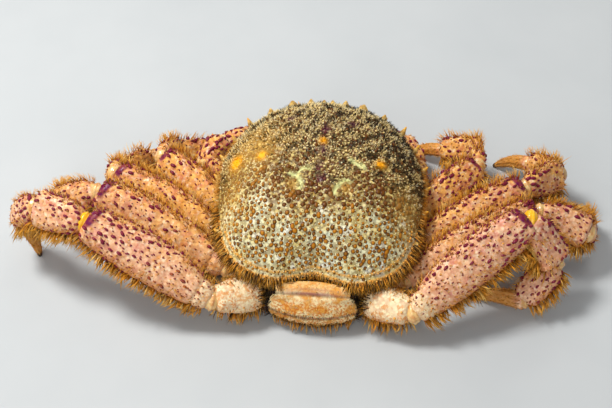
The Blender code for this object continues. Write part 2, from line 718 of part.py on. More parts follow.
def spine(root, along, length, radius):
    """Five-sided spine that stands on a surface, with its root sunk in."""
    side = Vector(along).orthogonal().normalized()
    other = Vector(along).cross(side)
    base = Vector(root) - Vector(along) * SPINE_SINK
    ring = []
    for k in range(SPINE_SIDES):
        angle = 2.0 * math.pi * k / SPINE_SIDES
        ring.append(base + (side * math.cos(angle) + other * math.sin(angle)) * radius)
    return rings_to_mesh("spine", [ring], Vector(root) + Vector(along) * length)


def lock_point(root, out, lie, length, share):
    """Point on the middle line of a lock that leaves along out and bends over to its lie."""
    return root + out * (length * share * (0.85 - 0.30 * share)) + lie * (length * 0.7 * share ** 2)


def lock(root, out, lie, length, width):
    """Flat lock of bristles, three-sided, that tapers and bends to its tip."""
    across = out.cross(lie).normalized()
    rings = []
    for share, wide, thick in LOCK_SECTIONS:
        centre = lock_point(root, out, lie, length, share)
        ahead = (lock_point(root, out, lie, length, share + 0.05) - centre).normalized()
        if share == 0.0:
            centre = root - out * LOCK_SINK
        half = across * (width * wide / 2)
        up = across.cross(ahead) * (LOCK_THICKNESS * thick)
        rings.append([centre - half, centre + half, centre + up])
    return rings_to_mesh("lock", rings, lock_point(root, out, lie, length, 1.0))


def tree_of(mesh):
    return BVHTree.FromPolygons([v.co for v in mesh.vertices], [p.vertices for p in mesh.polygons])


def inside(point, tree):
    """Whether a point lies in a closed body: a ray from it leaves through an odd count of faces."""
    way = Vector((0.31, 0.17, 0.93)).normalized()
    start, count = Vector(point), 0
    while count < 40:
        hit, _, _, _ = tree.ray_cast(start, way)
        if hit is None:
            break
        start = hit + way * 1e-3
        count += 1
    return count % 2 == 1


def room_at(point, neighbours):
    """Distance from a point to the nearest neighbour or the floor, or 0 inside a neighbour."""
    room = point.z
    for tree in neighbours:
        distance = tree.find_nearest(point)[3]
        if distance < room:
            room = distance
        if distance < 12.0 and inside(point, tree):
            return 0.0
    return room


def reach(root, along, length, radius, neighbours):
    """How far a spine can grow from a root before it comes too near a neighbour."""
    steps = 8
    for k in range(steps + 1):
        share = k / steps
        need = 2 * GAP + radius * (1.0 - share)
        if room_at(root + along * (length * share), neighbours) < need:
            return length * (k - 1) / steps
    return length


def free_lock(root, out, lies, length, width, neighbours):
    """The longest lock that stays clear of the neighbours, bent over one of a few ways."""
    if room_at(root, neighbours) < GAP + LOCK_THICKNESS:
        return None
    for shorten in (1.0, 0.75, 0.5):
        for lie in lies:
            clear = True
            for share in (0.3, 0.55, 0.8, 1.0):
                spot = lock_point(root, out, lie, length * shorten, share)
                across = out.cross(lie).normalized() * (width / 2 * (1.05 - share))
                need = GAP + LOCK_THICKNESS * (1.05 - share)
                if min(room_at(spot + across, neighbours), room_at(spot - across, neighbours)) < need:
                    clear = False
                    break
            if clear and length * shorten >= LEAST_LOCK:
                return lock(root, out, lie, length * shorten, width)
    return None


def row_shares(start, end, length, step):
    """Shares of a joint's length for a row of pieces about a step apart."""
    count = max(1, round((end - start) * length / step))
    return [lerp(start, end, (k + 0.5) / count) for k in range(count)]


def limb_growths(limb, joint, neighbours, draw):
    """Spines along the upper edge of a joint and locks along its lower edge."""
    made = []
    size = (limb.end - limb.start).length
    for degrees, start, end, length, step in SPINES.get(joint, ()):
        for share in row_shares(start, end, size, step):
            spot = share + draw.uniform(-0.15, 0.15) * step / size
            root, out = limb.surface(spot, math.radians(degrees + draw.uniform(-9, 9)))
            along = (out + limb.axis * 0.35).normalized()
            tall = reach(root, along, length * draw.uniform(0.75, 1.15), SPINE_RADIUS, neighbours)
            if tall > LEAST_LOCK:
                made.append(spine(root, along, tall, SPINE_RADIUS))
    for degrees, start, end, length, step in COAT.get(joint, ()):
        for share in row_shares(start, end, size, step):
            root, out = limb.surface(share, math.radians(degrees + draw.uniform(-10, 10)))
            out = (out + limb.thin * draw.uniform(-0.15, 0.15)).normalized()
            slant = limb.thin * draw.uniform(-0.3, 0.3)
            lies = [(limb.axis + slant).normalized(), (limb.thin + limb.axis * 0.5).normalized(),
                    (limb.axis * 0.5 - limb.thin).normalized(), (slant - limb.axis).normalized()]
            piece = free_lock(root, out, lies, length * draw.uniform(0.85, 1.15),
                              LOCK_WIDTH * draw.uniform(0.85, 1.1), neighbours)
            if piece:
                made.append(piece)
    return made


def shell_edge(share):
    """Point on the shell's rim at a share of the half outline, with its outward way."""
    here = half_outline_point(share)
    ahead = half_outline_point(min(share + 0.01, 1.0)) - half_outline_point(max(share - 0.01, 0.0))
    outward = Vector((-ahead.y, ahead.x)).normalized()
    outward = outward if outward.dot(here) > 0 else -outward
    return Vector((here.x, here.y, RIM_HEIGHT + RIM_SLOPE * here.y)), outward


def mirror(point, side):
    return Vector((side * point[0], point[1], point[2]))


def shell_growths(neighbours, draw):
    """Teeth along the rim and the fringe of locks below it, on both sides."""
    made = []
    start, end, length, step = SHELL_FRINGE
    edge_length = sum((half_outline_point(lerp(start, end, (k + 1) / OUTLINE_STEPS))
                       - half_outline_point(lerp(start, end, k / OUTLINE_STEPS))).length
                      for k in range(OUTLINE_STEPS))
    for side in (1.0, -1.0):
        for share, tall, lean in SHELL_TEETH:
            edge, outward = shell_edge(share)
            along = Vector((outward.x, outward.y + 0.35, lean)).normalized()
            root = Vector((edge.x, edge.y, edge.z + 0.6))
            made.append(spine(tip(mirror(root, side)), tip_turn(mirror(along, side)), tall,
                              TOOTH_RADIUS))
        for share in row_shares(start, end, edge_length * (end - start), step * (end - start)):
            edge, outward = shell_edge(share)
            root = tip(mirror((edge.x - 0.7 * outward.x, edge.y - 0.7 * outward.y, edge.z - 2.4),
                              side))
            out = tip_turn(mirror((outward.x, outward.y, -0.45), side)).normalized()
            down = tip_turn(mirror((0.0, -0.35, -1.0), side)).normalized()
            level = tip_turn(mirror((outward.y, -outward.x, 0.0), side)).normalized()
            lies = [(down + level * draw.uniform(-0.3, 0.3)).normalized(), level, -level]
            piece = free_lock(root, out, lies, length * draw.uniform(0.85, 1.15), LOCK_WIDTH,
                              neighbours)
            if piece:
                made.append(piece)
    return made


def flap_growths(neighbours, draw):
    """Rows of locks across the rear of the belly flap."""
    made = []
    for share, half, length in FLAP_FRINGES:
        here = flap_path(share)
        ahead = flap_path(share + 0.01) - flap_path(share - 0.01)
        along = Vector((0.0, ahead.x, ahead.y)).normalized()
        out = along.cross(Vector((1.0, 0.0, 0.0)))
        out = out if out.y < 0.0 else -out
        count = round(2 * half / LOCK_WIDTH)
        for k in range(count):
            x = lerp(-half, half, (k + 0.5) / count)
            forward = max(0.0, along_table(FLAP_CURL, share)) * (x / FLAP_HALF_WIDTH) ** 2
            root = tip(Vector((x, here.x + forward, here.y)) + out * (FLAP_THICKNESS / 2))
            lie = (along + Vector((draw.uniform(-0.3, 0.3), 0.0, 0.0))).normalized()
            lies = [tip_turn(lie), tip_turn(Vector((math.copysign(1.0, x), 0.0, 0.0)))]
            piece = free_lock(root, tip_turn(out), lies, length * draw.uniform(0.85, 1.15),
                              LOCK_WIDTH, neighbours)
            if piece:
                made.append(piece)
    return made


def limb_meshes():
    """All joints of the legs and claws, parted by thin cuts where they meet."""
    made = {}
    for side_name in ("right", "left"):
        side = 1.0 if side_name == "right" else -1.0
        for number in (1, 2, 3, 4, 0):
            limbs, knots = leg_limbs(side_name, number) if number else claw_limbs(side_name)
            chain = [joint for joint in limbs if joint not in ("fixed", "finger")]
            title = "leg_%s_%d_" % (side_name, number) if number else "claw_%s_" % side_name
            for k, joint in enumerate(chain):
                mesh = limbs[joint].mesh(title + joint)
                if k == 0:
                    wall = Vector((side, 0.0, 0.0))
                    spot = Vector((side * (CHEST_HALF_WIDTH + GAP), 0.0, 0.0))
                    if number == 4:
                        long = Vector((CHEST_CORNER[0] - CHEST_HALF_WIDTH,
                                       CHEST_REAR - CHEST_CORNER[1], 0.0))
                        wall = tip_turn((-side * long.y, long.x, 0.0)).normalized()
                        spot = tip((side * CHEST_HALF_WIDTH, CHEST_CORNER[1], 10.0)) + wall * GAP
                        edge = Vector((side * (FLAP_HALF_WIDTH + GAP), 0.0, 0.0))
                        cut(mesh, edge, Vector((-side, 0.0, 0.0)))
                    cut(mesh, spot, -wall)
                else:
                    normal = joint_plane(limbs[chain[k - 1]].axis, limbs[joint].axis)
                    cut(mesh, knots[k] + normal * GAP / 2, -normal)
                if k + 1 < len(chain):
                    normal = joint_plane(limbs[joint].axis, limbs[chain[k + 1]].axis)
                    cut(mesh, knots[k + 1] - normal * GAP / 2, normal)
                if joint == "palm":
                    cut(mesh, knots[k + 1], limbs[joint].axis)
                    mesh = combine(mesh, [limbs["fixed"].mesh("fixed")])
                if joint == "dactyl":
                    cut(mesh, Vector((0.0, 0.0, 0.0)), Vector((0.0, 0.0, -1.0)))
                made[title + joint] = [mesh, limbs[joint]]
            if not number:
                finger = limbs["finger"].mesh(title + "finger")
                palm_axis = limbs["palm"].axis
                cut(finger, knots[4] + palm_axis * GAP, -palm_axis)
                made[title + "finger"] = [finger, limbs["finger"]]
    return made


def main():
    """Make every part plain, then grow the teeth and the coat clear of the neighbours."""
    sockets = [make(side) for make in (socket_mesh, antenna_socket) for side in (1.0, -1.0)]
    flap = flap_mesh()
    cut(flap, Vector((0.0, 0.0, 0.0)), Vector((0.0, 0.0, -1.0)))
    made = {"carapace": [combine(shell_mesh(), sockets, "DIFFERENCE"), None],
            "thorax": [chest_mesh(), None], "abdomen": [flap, None]}
    for side_name, side in (("right", 1.0), ("left", -1.0)):
        made["eye_" + side_name] = [eye_mesh("eye", side), None]
        made["antenna_" + side_name] = [antenna_mesh("antenna", side), None]
        made["maxilliped_" + side_name] = [jaw_mesh("jaw", side), None]
    made.update(limb_meshes())
    trees = {name: tree_of(mesh) for name, (mesh, _) in made.items()}
    draw = random.Random(SEED)
    for name, (mesh, limb) in made.items():
        others = [tree for other, tree in trees.items() if other != name]
        grown = []
        if name == "carapace":
            grown = shell_growths(others, draw)
        elif name == "abdomen":
            grown = flap_growths(others, draw)
        elif limb:
            grown = limb_growths(limb, name.split("_")[-1], others, draw)
        if grown:
            mesh = combine(mesh, grown)
            trees[name] = tree_of(mesh)
        finish = {"carapace": "shell", "thorax": "belly", "abdomen": "belly"}.get(name, "leg")
        finish = {"eye": "eye", "finger": "claw"}.get(name.split("_")[0 if "eye" in name else -1],
                                                      finish)
        place(name, mesh, finish, limb.start if limb else (0.0, 0.0, 0.0))


main()
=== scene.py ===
"""Looks of the horsehair crab: shell, legs, head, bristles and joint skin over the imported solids."""

import json
import math
import random

import bmesh
import bpy
import numpy as np
from mathutils import Matrix, Vector

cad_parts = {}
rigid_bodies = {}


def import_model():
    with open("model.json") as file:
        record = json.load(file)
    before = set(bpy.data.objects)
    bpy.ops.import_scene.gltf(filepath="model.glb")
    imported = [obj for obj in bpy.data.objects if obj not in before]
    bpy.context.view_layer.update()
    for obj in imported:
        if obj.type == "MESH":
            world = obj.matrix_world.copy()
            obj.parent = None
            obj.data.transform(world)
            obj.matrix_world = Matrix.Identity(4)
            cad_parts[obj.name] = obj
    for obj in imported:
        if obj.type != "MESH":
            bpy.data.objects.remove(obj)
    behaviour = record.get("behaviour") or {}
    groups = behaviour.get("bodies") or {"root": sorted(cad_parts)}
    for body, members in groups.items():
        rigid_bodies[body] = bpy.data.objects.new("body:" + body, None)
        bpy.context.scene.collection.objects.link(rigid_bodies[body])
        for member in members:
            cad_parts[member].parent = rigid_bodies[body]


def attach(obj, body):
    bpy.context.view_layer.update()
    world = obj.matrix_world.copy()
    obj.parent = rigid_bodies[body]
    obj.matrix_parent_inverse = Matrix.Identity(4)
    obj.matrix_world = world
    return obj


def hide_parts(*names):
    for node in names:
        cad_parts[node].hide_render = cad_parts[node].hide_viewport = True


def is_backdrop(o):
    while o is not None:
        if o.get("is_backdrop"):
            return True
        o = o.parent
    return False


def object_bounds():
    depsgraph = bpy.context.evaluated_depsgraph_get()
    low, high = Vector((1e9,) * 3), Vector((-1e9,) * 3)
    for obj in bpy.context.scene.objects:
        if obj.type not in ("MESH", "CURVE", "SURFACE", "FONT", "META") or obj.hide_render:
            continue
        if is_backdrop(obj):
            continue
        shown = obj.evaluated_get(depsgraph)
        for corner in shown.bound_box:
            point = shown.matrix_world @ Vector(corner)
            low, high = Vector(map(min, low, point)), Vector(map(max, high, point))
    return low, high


bl_info = {
    "name": "Horsehair crab",
    "version": (1, 0, 0),
    "blender": (4, 5, 0),
    "location": "3D View > Sidebar > Crab",
    "description": "Dresses a packed horsehair crab in shell, spines, bristles and joint skin",
    "category": "Add Mesh",
}

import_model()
CAD_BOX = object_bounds()

# Sizes shared with the solids, in millimetres. +Y is the crab's front and +X its right side.
MM = 0.001
REST_Y = -42.0
SHELL_LENGTH = 100.0
SHELL_WIDTH = 97.0
SHELL_REAR = -49.0
SHELL_MIDDLE_Y = -1.0
RIM_HEIGHT = 27.6
RIM_SLOPE = 0.05
DOME_HEIGHT = 22.0
DOME_FALL = 0.6
REAR_FALL = 0.42
FRONT_FALL = 0.26
REAR_REACH = 46.0
SHELL_FLOOR = 18.0
BODY_PITCH = math.radians(6.0)
PITCH_POINT = np.array((0.0, -50.0, 0.0))
REARWARD = np.array((0.0, -1.0, 0.0))
SHELL_OUTLINE = (
    (0.00, 0.995), (0.13, 1.000), (0.31, 0.978), (0.50, 0.940), (0.68, 0.880), (0.82, 0.790),
    (0.92, 0.690), (0.985, 0.590), (1.00, 0.500), (0.985, 0.390), (0.945, 0.255), (0.85, 0.125),
    (0.67, 0.042), (0.39, 0.000), (0.17, 0.020), (0.00, 0.042),
)
BACK_SWELLS = ((0, 20, 17, 14, 1.2), (0, -22, 12, 9, 1.0), (24, 0, 12, 20, 0.9),
               (11.5, -6, 3, 9, -1.0), (19, 15, 6, 4, -0.8), (17, 36, 5, 7, 2.2),
               (0, 38, 7, 9, 2.4), (33, 22, 6, 8, 1.6), (10.0, 33, 2.6, 9, -1.0))
SHELL_TEETH = ((0.030, 3.0, 0.5), (0.085, 3.4, 0.6), (0.150, 4.2, 0.9), (0.225, 3.8, 0.8),
               (0.300, 4.0, 0.7), (0.370, 4.0, 0.6), (0.445, 3.6, 0.5), (0.52, 3.2, 0.4),
               (0.60, 2.8, 0.3), (0.68, 2.6, 0.3))
FRONT_TEETH = 4
CORNER_TOOTH = 2
TOOTH_SPINES = 9
CHEST_BOTTOM = 2.9
CHEST_TOP = 17.7
CHEST_OUTLINE = ((18.0, -49.0), (28.0, -41.0), (28.0, 14.0), (15.0, 33.0))
CHEST_MIDDLE = (0.0, -8.0)
CHEST_FURROWS = (4.0, -9.5, -23.0, -36.5)
CHEST_STEPS = ((0.90, 3.6), (0.955, 4.8), (0.985, 6.2), (1.0, 8.0), (1.0, 11.0), (1.0, 14.0),
               (1.0, CHEST_TOP), (0.5, CHEST_TOP))
FLAP_THICKNESS = 3.0
FLAP_LINE = ((-49.9, 23.6), (-55.0, 19.4), (-58.2, 13.8), (-58.8, 7.4), (-55.0, 2.2),
             (-44.0, 0.0), (-32.0, -0.2), (-18.0, 0.6), (-4.0, 1.0), (7.0, 1.0))
FLAP_RINGS = (
    (17.0, ((0.00, 0.80), (0.05, 1.00), (0.065, 0.72))),
    (18.0, ((0.08, 0.80),)),
    (20.6, ((0.23, 1.15), (0.26, 0.72))),
    (20.2, ((0.28, 0.72), (0.36, 1.10), (0.38, 0.72))),
    (16.4, ((0.40, 0.72), (0.48, 1.00), (0.50, 0.72))),
    (14.4, ((0.52, 0.72), (0.60, 0.95), (0.62, 0.70))),
    (12.0, ((0.64, 0.70), (0.77, 0.90), (0.79, 0.66))),
    (8.0, ((0.81, 0.66), (0.90, 0.86))),
    (3.0, ((1.00, 0.60),)),
)
FLAP_SEAMS = (0.072, 0.27, 0.39, 0.51, 0.63, 0.80)
FLAP_HAIR_ROWS = (0.235, 0.355, 0.47, 0.60, 0.78)
FLAP_CURL = ((0.0, -3.0), (0.06, -0.8), (0.14, 3.4), (0.36, 4.6), (0.50, 1.0), (0.60, 0.0),
             (1.0, 0.0))

LEG_LENGTHS = {
    1: {"merus": 50.0, "carpus": 23.0, "propodus": 20.0, "dactyl": 21.0},
    2: {"merus": 66.0, "carpus": 25.0, "propodus": 22.5, "dactyl": 24.0},
    3: {"merus": 70.0, "carpus": 26.0, "propodus": 24.0, "dactyl": 23.5},
    4: {"merus": 67.0, "carpus": 26.0, "propodus": 23.0, "dactyl": 26.5},
}
CLAW_LENGTHS = {"merus": 26.0, "carpus": 18.5, "palm": 30.0, "finger": 17.0}
LEG_ROOTS = {
    1: ((28.0, -7.6, 13.0), (41.0, -9.6, 12.5)),
    2: ((28.0, -21.0, 12.5), (42.0, -23.0, 12.5)),
    3: ((28.0, -34.5, 12.0), (42.0, -37.5, 13.0)),
    4: ((24.0, -47.5, 11.5), (45.5, -58.5, 16.5)),
}
CLAW_ROOT = ((28.0, 6.5, 15.5), (37.5, 9.0, 13.0))
LEG_POSE = {
    ("right", 1): ((43, 21), (93, -25), (152, -33), 167),
    ("right", 2): ((30, 16), (40, -14), (129, -26), 145),
    ("right", 3): ((27, 15), (-7, -21), (78, -34), 129),
    ("right", 4): ((36, 24), (-30, -51), (-141, -44), 165),
    ("left", 1): ((34, 19), (97, -38), (161, -16), 190),
    ("left", 2): ((23, 16), (78, -50), (122, -8), 185),
    ("left", 3): ((20, 19), (6, -33), (76, -36), 151),
    ("left", 4): ((18, 24), (18, -5), (30, -45), 209),
}
CLAW_POSE = {
    "right": ((69, 2), (120, 0), (161, -6), (173, -7)),
    "left": ((23, 19), (115, -2), (152, -17), (163, -10)),
}
LEG_PROFILES = {
    "coxa": ((0.0, 5.6, 5.2), (0.25, 6.8, 6.4), (0.50, 6.5, 6.0), (0.80, 5.2, 4.8),
             (1.0, 4.6, 4.2)),
    "merus": ((0.0, 5.0, 4.2), (0.10, 7.2, 4.9), (0.32, 10.0, 5.7), (0.60, 10.7, 5.9),
              (0.90, 9.0, 5.4), (1.0, 6.2, 4.4)),
    "carpus": ((-0.1, 4.3, 3.5), (0.0, 5.0, 4.0), (0.25, 7.4, 4.9), (0.65, 8.8, 5.2),
               (0.92, 8.2, 5.0), (1.0, 6.0, 4.4)),
    "propodus": ((-0.1, 4.3, 3.5), (0.0, 5.0, 4.0), (0.25, 7.2, 4.5), (0.7, 6.8, 4.3),
                 (1.0, 4.6, 3.6)),
    "dactyl": ((-0.1, 3.6, 2.9), (0.0, 4.0, 3.3), (0.3, 3.7, 3.1), (0.65, 2.6, 2.3),
               (0.9, 1.4, 1.3), (1.0, 0.7, 0.7)),
}
CLAW_PROFILES = {
    "coxa": ((0.0, 6.6, 6.2), (0.5, 6.8, 6.4), (1.0, 5.4, 5.2)),
    "merus": ((0.0, 5.4, 5.0), (0.3, 6.6, 5.6), (0.85, 7.6, 6.6), (1.0, 6.0, 5.4)),
    "carpus": ((-0.1, 4.9, 4.5), (0.0, 5.6, 5.2), (0.3, 7.8, 6.8), (0.75, 8.6, 7.4),
               (1.0, 6.4, 5.8)),
    "palm": ((-0.05, 5.5, 4.7), (0.0, 6.0, 5.0), (0.25, 8.2, 6.4), (0.7, 8.8, 6.8),
             (0.95, 8.0, 6.2), (1.0, 7.4, 5.6)),
    "finger": ((0.0, 3.4, 3.0), (0.3, 3.3, 2.9), (0.7, 2.5, 2.2), (1.0, 0.8, 0.7)),
}
LEG_SCALE = {1: 0.85, 2: 0.92, 3: 0.96, 4: 1.02}
HIND_COXA_SCALE = 1.28
LEG_BOWS = {"dactyl": 1.6, "merus": 0.8}
FOOT_HEIGHT = 0.1
WIDE_TILT = math.radians(40.0)
FINGER_SPREAD = 3.9
EYE_PLACE = (15.0, 47.0, 24.6)
EYE_RADIUS = 2.9
EYE_STALK = 2.3
EYE_SINK = 5.0
ANTENNA_ROOT = (8.5, 43.6, 20.0)
ANTENNA_LENGTH = 20.0
ANTENNA_PROFILE = ((0.0, 1.5), (0.10, 1.7), (0.125, 1.0), (0.14, 1.3), (0.26, 1.35), (0.28, 0.75),
                   (0.30, 0.95), (0.42, 0.95), (0.45, 0.55), (0.47, 0.6), (1.0, 0.22))
JAW_HALF_WIDTH = 8.6
JAW_THICKNESS = 3.4
JAW_BOTTOM = 3.6
JAW_TOP = 17.2
JAW_BEND = 12.2
JAW_WIDTHS = ((JAW_BOTTOM, 0.50), (4.2, 0.66), (5.5, 0.85), (9.0, 1.0), (14.0, 1.0), (JAW_TOP, 0.8))
# Mouth frame and palps: middle, half width, half depth, lowest and highest point, place forwards
MOUTH_FRAME = ((0.0, 7.4, 1.5, 17.6, 20.4, 36.4), (9.9, 1.0, 1.2, 6.0, 16.6, 35.2),
               (-9.9, 1.0, 1.2, 6.0, 16.6, 35.2))
GAP = 0.3

# Room that the tips keep inside the solids' box, and the seed of the small pieces
BOX_MARGIN = 0.05
SEED = 7041

# Reach of a grain and of a tuft on the map OFBake
GRAIN_PATCH = 0.0014
TUFT_PATCH = (0.0009, 0.0026, 0.0029)

# Camera: what it looks at, in the same millimetres, and where from
CAMERA_TARGET = (-7.0, -5.0, 25.0)
CAMERA_AZIMUTH = 4.6
CAMERA_HEIGHT = 49.0
CAMERA_DISTANCE = 487.0
CAMERA_LENS = 60.0

# Sky, and the lights with their places, sizes in metres and powers
SKY = (0.93, 0.96, 1.0, 1.0)
SKY_STRENGTH = 0.36
LIGHTS = (("key light", (-0.42, 0.12, 0.80), 0.24, 7.8),
          ("fill light", (-0.2, -0.7, 0.55), 0.5, 2.0),
          ("rear light", (0.3, 0.9, 0.5), 0.4, 1.8))
# Side view of the floor, as (y, z) in metres, and its half width
FLOOR_LINE = ((-2.0, 0.0), (1.2, 0.0), (1.7, 0.03), (2.1, 0.18), (2.4, 0.5), (2.5, 1.1), (2.5, 2.2))
FLOOR_HALF_WIDTH = 2.2


def rgb(red, green, blue):
    """Colour as a screen shows it, 0 to 255, turned to the linear values that shaders use."""
    return tuple(((c / 255.0 + 0.055) / 1.055) ** 2.4 if c > 10 else c / 3294.6
                 for c in (red, green, blue))


def size_setting(name, text, start, low, high):
    """Slider for a size in millimetres."""
    return bpy.props.FloatProperty(name=name, description=text, default=start, min=low, max=high)


def colour_setting(name, text, *shown):
    """Colour field, with the first colour as a screen shows it."""
    return bpy.props.FloatVectorProperty(name=name, description=text, subtype="COLOR", size=3,
                                         default=rgb(*shown), min=0.0, max=1.0)


class CrabSizes(bpy.types.PropertyGroup):
    """Sizes of the fine forms, in millimetres."""
    tubercle_step: size_setting("Tubercle step", "Least distance between tubercles", 1.9, 1.2, 8.0)
    granule_step: size_setting("Granule step", "Least distance between front granules", 1.35, 0.8, 4.0)
    spinule_step: size_setting("Spinule step", "Least distance between leg spinules", 2.5, 1.0, 6.0)
    bristle_step: size_setting("Bristle step", "Least distance between fringe tufts", 0.9, 0.4, 4.0)
    bristle_length: size_setting("Bristle length", "Length of the fringe bristles", 6.8, 2.0, 10.0)


class CrabColours(bpy.types.PropertyGroup):
    """Main colours of the finish."""
    shell: colour_setting("Shell", "Pale ground of the back", 238, 234, 190)
    tubercle: colour_setting("Tubercle", "Raised grains of the back", 164, 98, 8)
    leg: colour_setting("Leg", "Skin of the legs", 246, 192, 150)
    spinule: colour_setting("Spinule", "Purple grains of the legs", 116, 6, 54)
    bristle: colour_setting("Bristle", "Golden brown bristles", 232, 160, 48)


# Small helpers

def unit(vector):
    vector = np.asarray(vector, float)
    return vector / np.maximum(np.linalg.norm(vector, axis=-1, keepdims=True), 1e-9)


def tip(points):
    """Points of the level body, moved to where the tipped body has them."""
    points = np.asarray(points, float) - PITCH_POINT
    return tip_turn(points) + PITCH_POINT


def tip_turn(lines):
    """Directions on the level body, turned as the tipped body turns them."""
    c, s = math.cos(BODY_PITCH), math.sin(BODY_PITCH)
    lines = np.asarray(lines, float)
    return np.stack([lines[..., 0], lines[..., 1] * c - lines[..., 2] * s,
                     lines[..., 1] * s + lines[..., 2] * c], axis=-1)


def bump(value, centre, width):
    """Bell curve: 1 at the centre and near 0 two widths away."""
    return np.exp(-((value - centre) / width) ** 2)


def step(value, low, high):
    """Smooth rise from 0 at low to 1 at high."""
    t = np.clip((value - low) / (high - low), 0.0, 1.0)
    return t * t * (3.0 - 2.0 * t)


def angles(sides, shift=0.0):
    """Even turns of one ring."""
    return (np.arange(sides) + shift) * 2 * math.pi / sides


def boxy(values, power):
    """Sine or cosine pushed outwards, which turns an ellipse towards a rounded box."""
    return np.sign(values) * np.abs(values) ** power


def waves(points, size, seed):
    """Smooth wandering values from about -1 to 1 over points, alike on each run."""
    draw = np.random.default_rng(seed)
    total = np.zeros(points.shape[:-1])
    for octave in range(2):
        for _ in range(5):
            line = unit(draw.normal(size=3)) * (2 * math.pi * 2 ** octave / size)
            total += np.sin(points @ line + draw.uniform(0, 6.28)) / (2.2 * (1 + octave))
    return total / 1.6


def catmull(points, share):
    """Points on a smooth curve through a list, at shares of its count of points."""
    points = np.asarray(points, float)
    last = len(points) - 1
    share = np.clip(np.asarray(share, float), 0.0, 1.0) * last
    k = np.minimum(share.astype(int), last - 1)
    t = (share - k)[..., None]
    a, b, c, d = (points[np.clip(k + n, 0, last)] for n in (-1, 0, 1, 2))
    return 0.5 * (2 * b + (c - a) * t + (2 * a - 5 * b + 4 * c - d) * t ** 2
                  + (3 * b - a - 3 * c + d) * t ** 3)


# Skins: grids of points that become plates, with the facts that colours and bristles need

class Skin:
    """Closed grid of rings; its values are stored on the mesh and guide colour and growth."""

    def __init__(self, rings, cell=(0.0, 0.0, 1.0, 1.0)):
        rows, sides = rings.shape[:2]
        self.rows, self.sides = rows, sides
        top, end = rings[0].mean(axis=0), rings[-1].mean(axis=0)
        self.points = np.concatenate([rings.reshape(-1, 3), [top, end]])
        quads = []
        i = np.arange(sides)
        j = (i + 1) % sides
        for k in range(rows - 1):
            quads.append(np.stack([k * sides + i, k * sides + j, (k + 1) * sides + j,
                                   (k + 1) * sides + i], axis=1))
        self.quads = np.concatenate(quads)
        first, last = rows * sides, (rows - 1) * sides
        self.caps = np.concatenate([
            np.stack([np.full(sides, first), j, i], axis=1),
            np.stack([np.full(sides, first + 1), last + i, last + j], axis=1)])
        u, v, w, h = cell
        across, down = np.meshgrid((i + 0.5) / sides, np.linspace(0.02, 0.98, rows))
        place = np.stack([u + w * (0.03 + 0.94 * across), v + h * down, np.zeros_like(across)], 2)
        ends = [[u + w / 2, v, 0.0], [u + w / 2, v + h, 0.0]]
        self.values = {"place": np.concatenate([place.reshape(-1, 3), ends])}

    def keep(self, **marks):
        """Store values given ring by ring, or one for all, on the grid's points and its ends."""
        for name, mark in marks.items():
            mark = np.broadcast_to(np.asarray(mark, float), (self.rows, self.sides))
            ends = [mark[0].mean(), mark[-1].mean()]
            self.values[name] = np.concatenate([mark.reshape(-1), ends])
        return self

    def outward(self):
        """Whether the faces look outwards, by the sign of the enclosed volume."""
        a, b, c = (self.points[self.quads[:, n]] for n in (0, 1, 2))
        d = self.points[self.quads[:, 3]]
        middle = self.points.mean(axis=0)
        volume = np.einsum("ij,ij->i", a - middle, np.cross(b - middle, c - middle)).sum()
        volume += np.einsum("ij,ij->i", a - middle, np.cross(c - middle, d - middle)).sum()
        return volume > 0


def joined(skins):
    """Points, faces and values of several skins as one; a value that a skin lacks is 0 there."""
    points, faces, start = [], [], 0
    shapes = {name: v.shape[1:] for skin in skins for name, v in skin.values.items()}
    values = {name: [] for name in shapes}
    for skin in skins:
        turn = 1 if skin.outward() else -1
        points.append(skin.points)
        faces += [tuple(int(n) + start for n in face[::turn]) for face in (*skin.quads, *skin.caps)]
        start += len(skin.points)
        for name, shape in shapes.items():
            lacking = np.zeros((len(skin.points), *shape))
            values[name].append(skin.values.get(name, lacking))
    return np.concatenate(points), faces, {n: np.concatenate(v) for n, v in values.items()}


def mesh_of(name, points, faces, values=None):
    """Smooth mesh that holds the values at its points."""
    mesh = bpy.data.meshes.new(name)
    mesh.from_pydata([tuple(p) for p in points], [], faces)
    for title, numbers in (values or {}).items():
        kind = "FLOAT_VECTOR" if numbers.ndim == 2 else "FLOAT"
        attribute = mesh.attributes.new(title, kind, "POINT")
        attribute.data.foreach_set("vector" if numbers.ndim == 2 else "value",
                                   numbers.astype(np.float32).ravel())
    mesh.shade_smooth()
    mesh.update()
    return mesh


def link(name, data):
    """New object of the scene."""
    thing = bpy.data.objects.new(name, data)
    bpy.context.scene.collection.objects.link(thing)
    return thing


def finish(name, mesh, paint, slot, replaces=()):
    """Keep a mesh in the solids' box, scale it to metres, stand it in the frame, name and paint it,
    and hide the solids it replaces.
    """
    keep_in_box(mesh)
    mesh.transform(Matrix.Scale(MM, 4) @ Matrix.Translation((0.0, -REST_Y, 0.0)))
    mesh.name = name
    if paint:
        mesh.materials.clear()
        mesh.materials.append(paint)
    for extra in ("place", "lie", "grow", "size", "patch"):
        if extra in mesh.attributes:
            mesh.attributes.remove(mesh.attributes[extra])
    piece = link(name, mesh)
    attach(piece, "root")
    if replaces:
        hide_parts(*replaces)


def keep_in_box(mesh):
    """Press the tips that would leave the solids' box, or sink in the floor, back to its sides."""
    low, high = (np.array(corner) / MM + (0.0, REST_Y, 0.0) for corner in CAD_BOX)
    points = np.empty(len(mesh.vertices) * 3)
    mesh.vertices.foreach_get("co", points)
    points = np.clip(points.reshape(-1, 3), low + BOX_MARGIN, high - BOX_MARGIN)
    mesh.vertices.foreach_set("co", points.ravel())
    mesh.update()


def plate(name, skins, paint, slot, replaces=()):
    """A piece made of one or more skins."""
    finish(name, mesh_of(name, *joined(skins)), paint, slot, replaces)


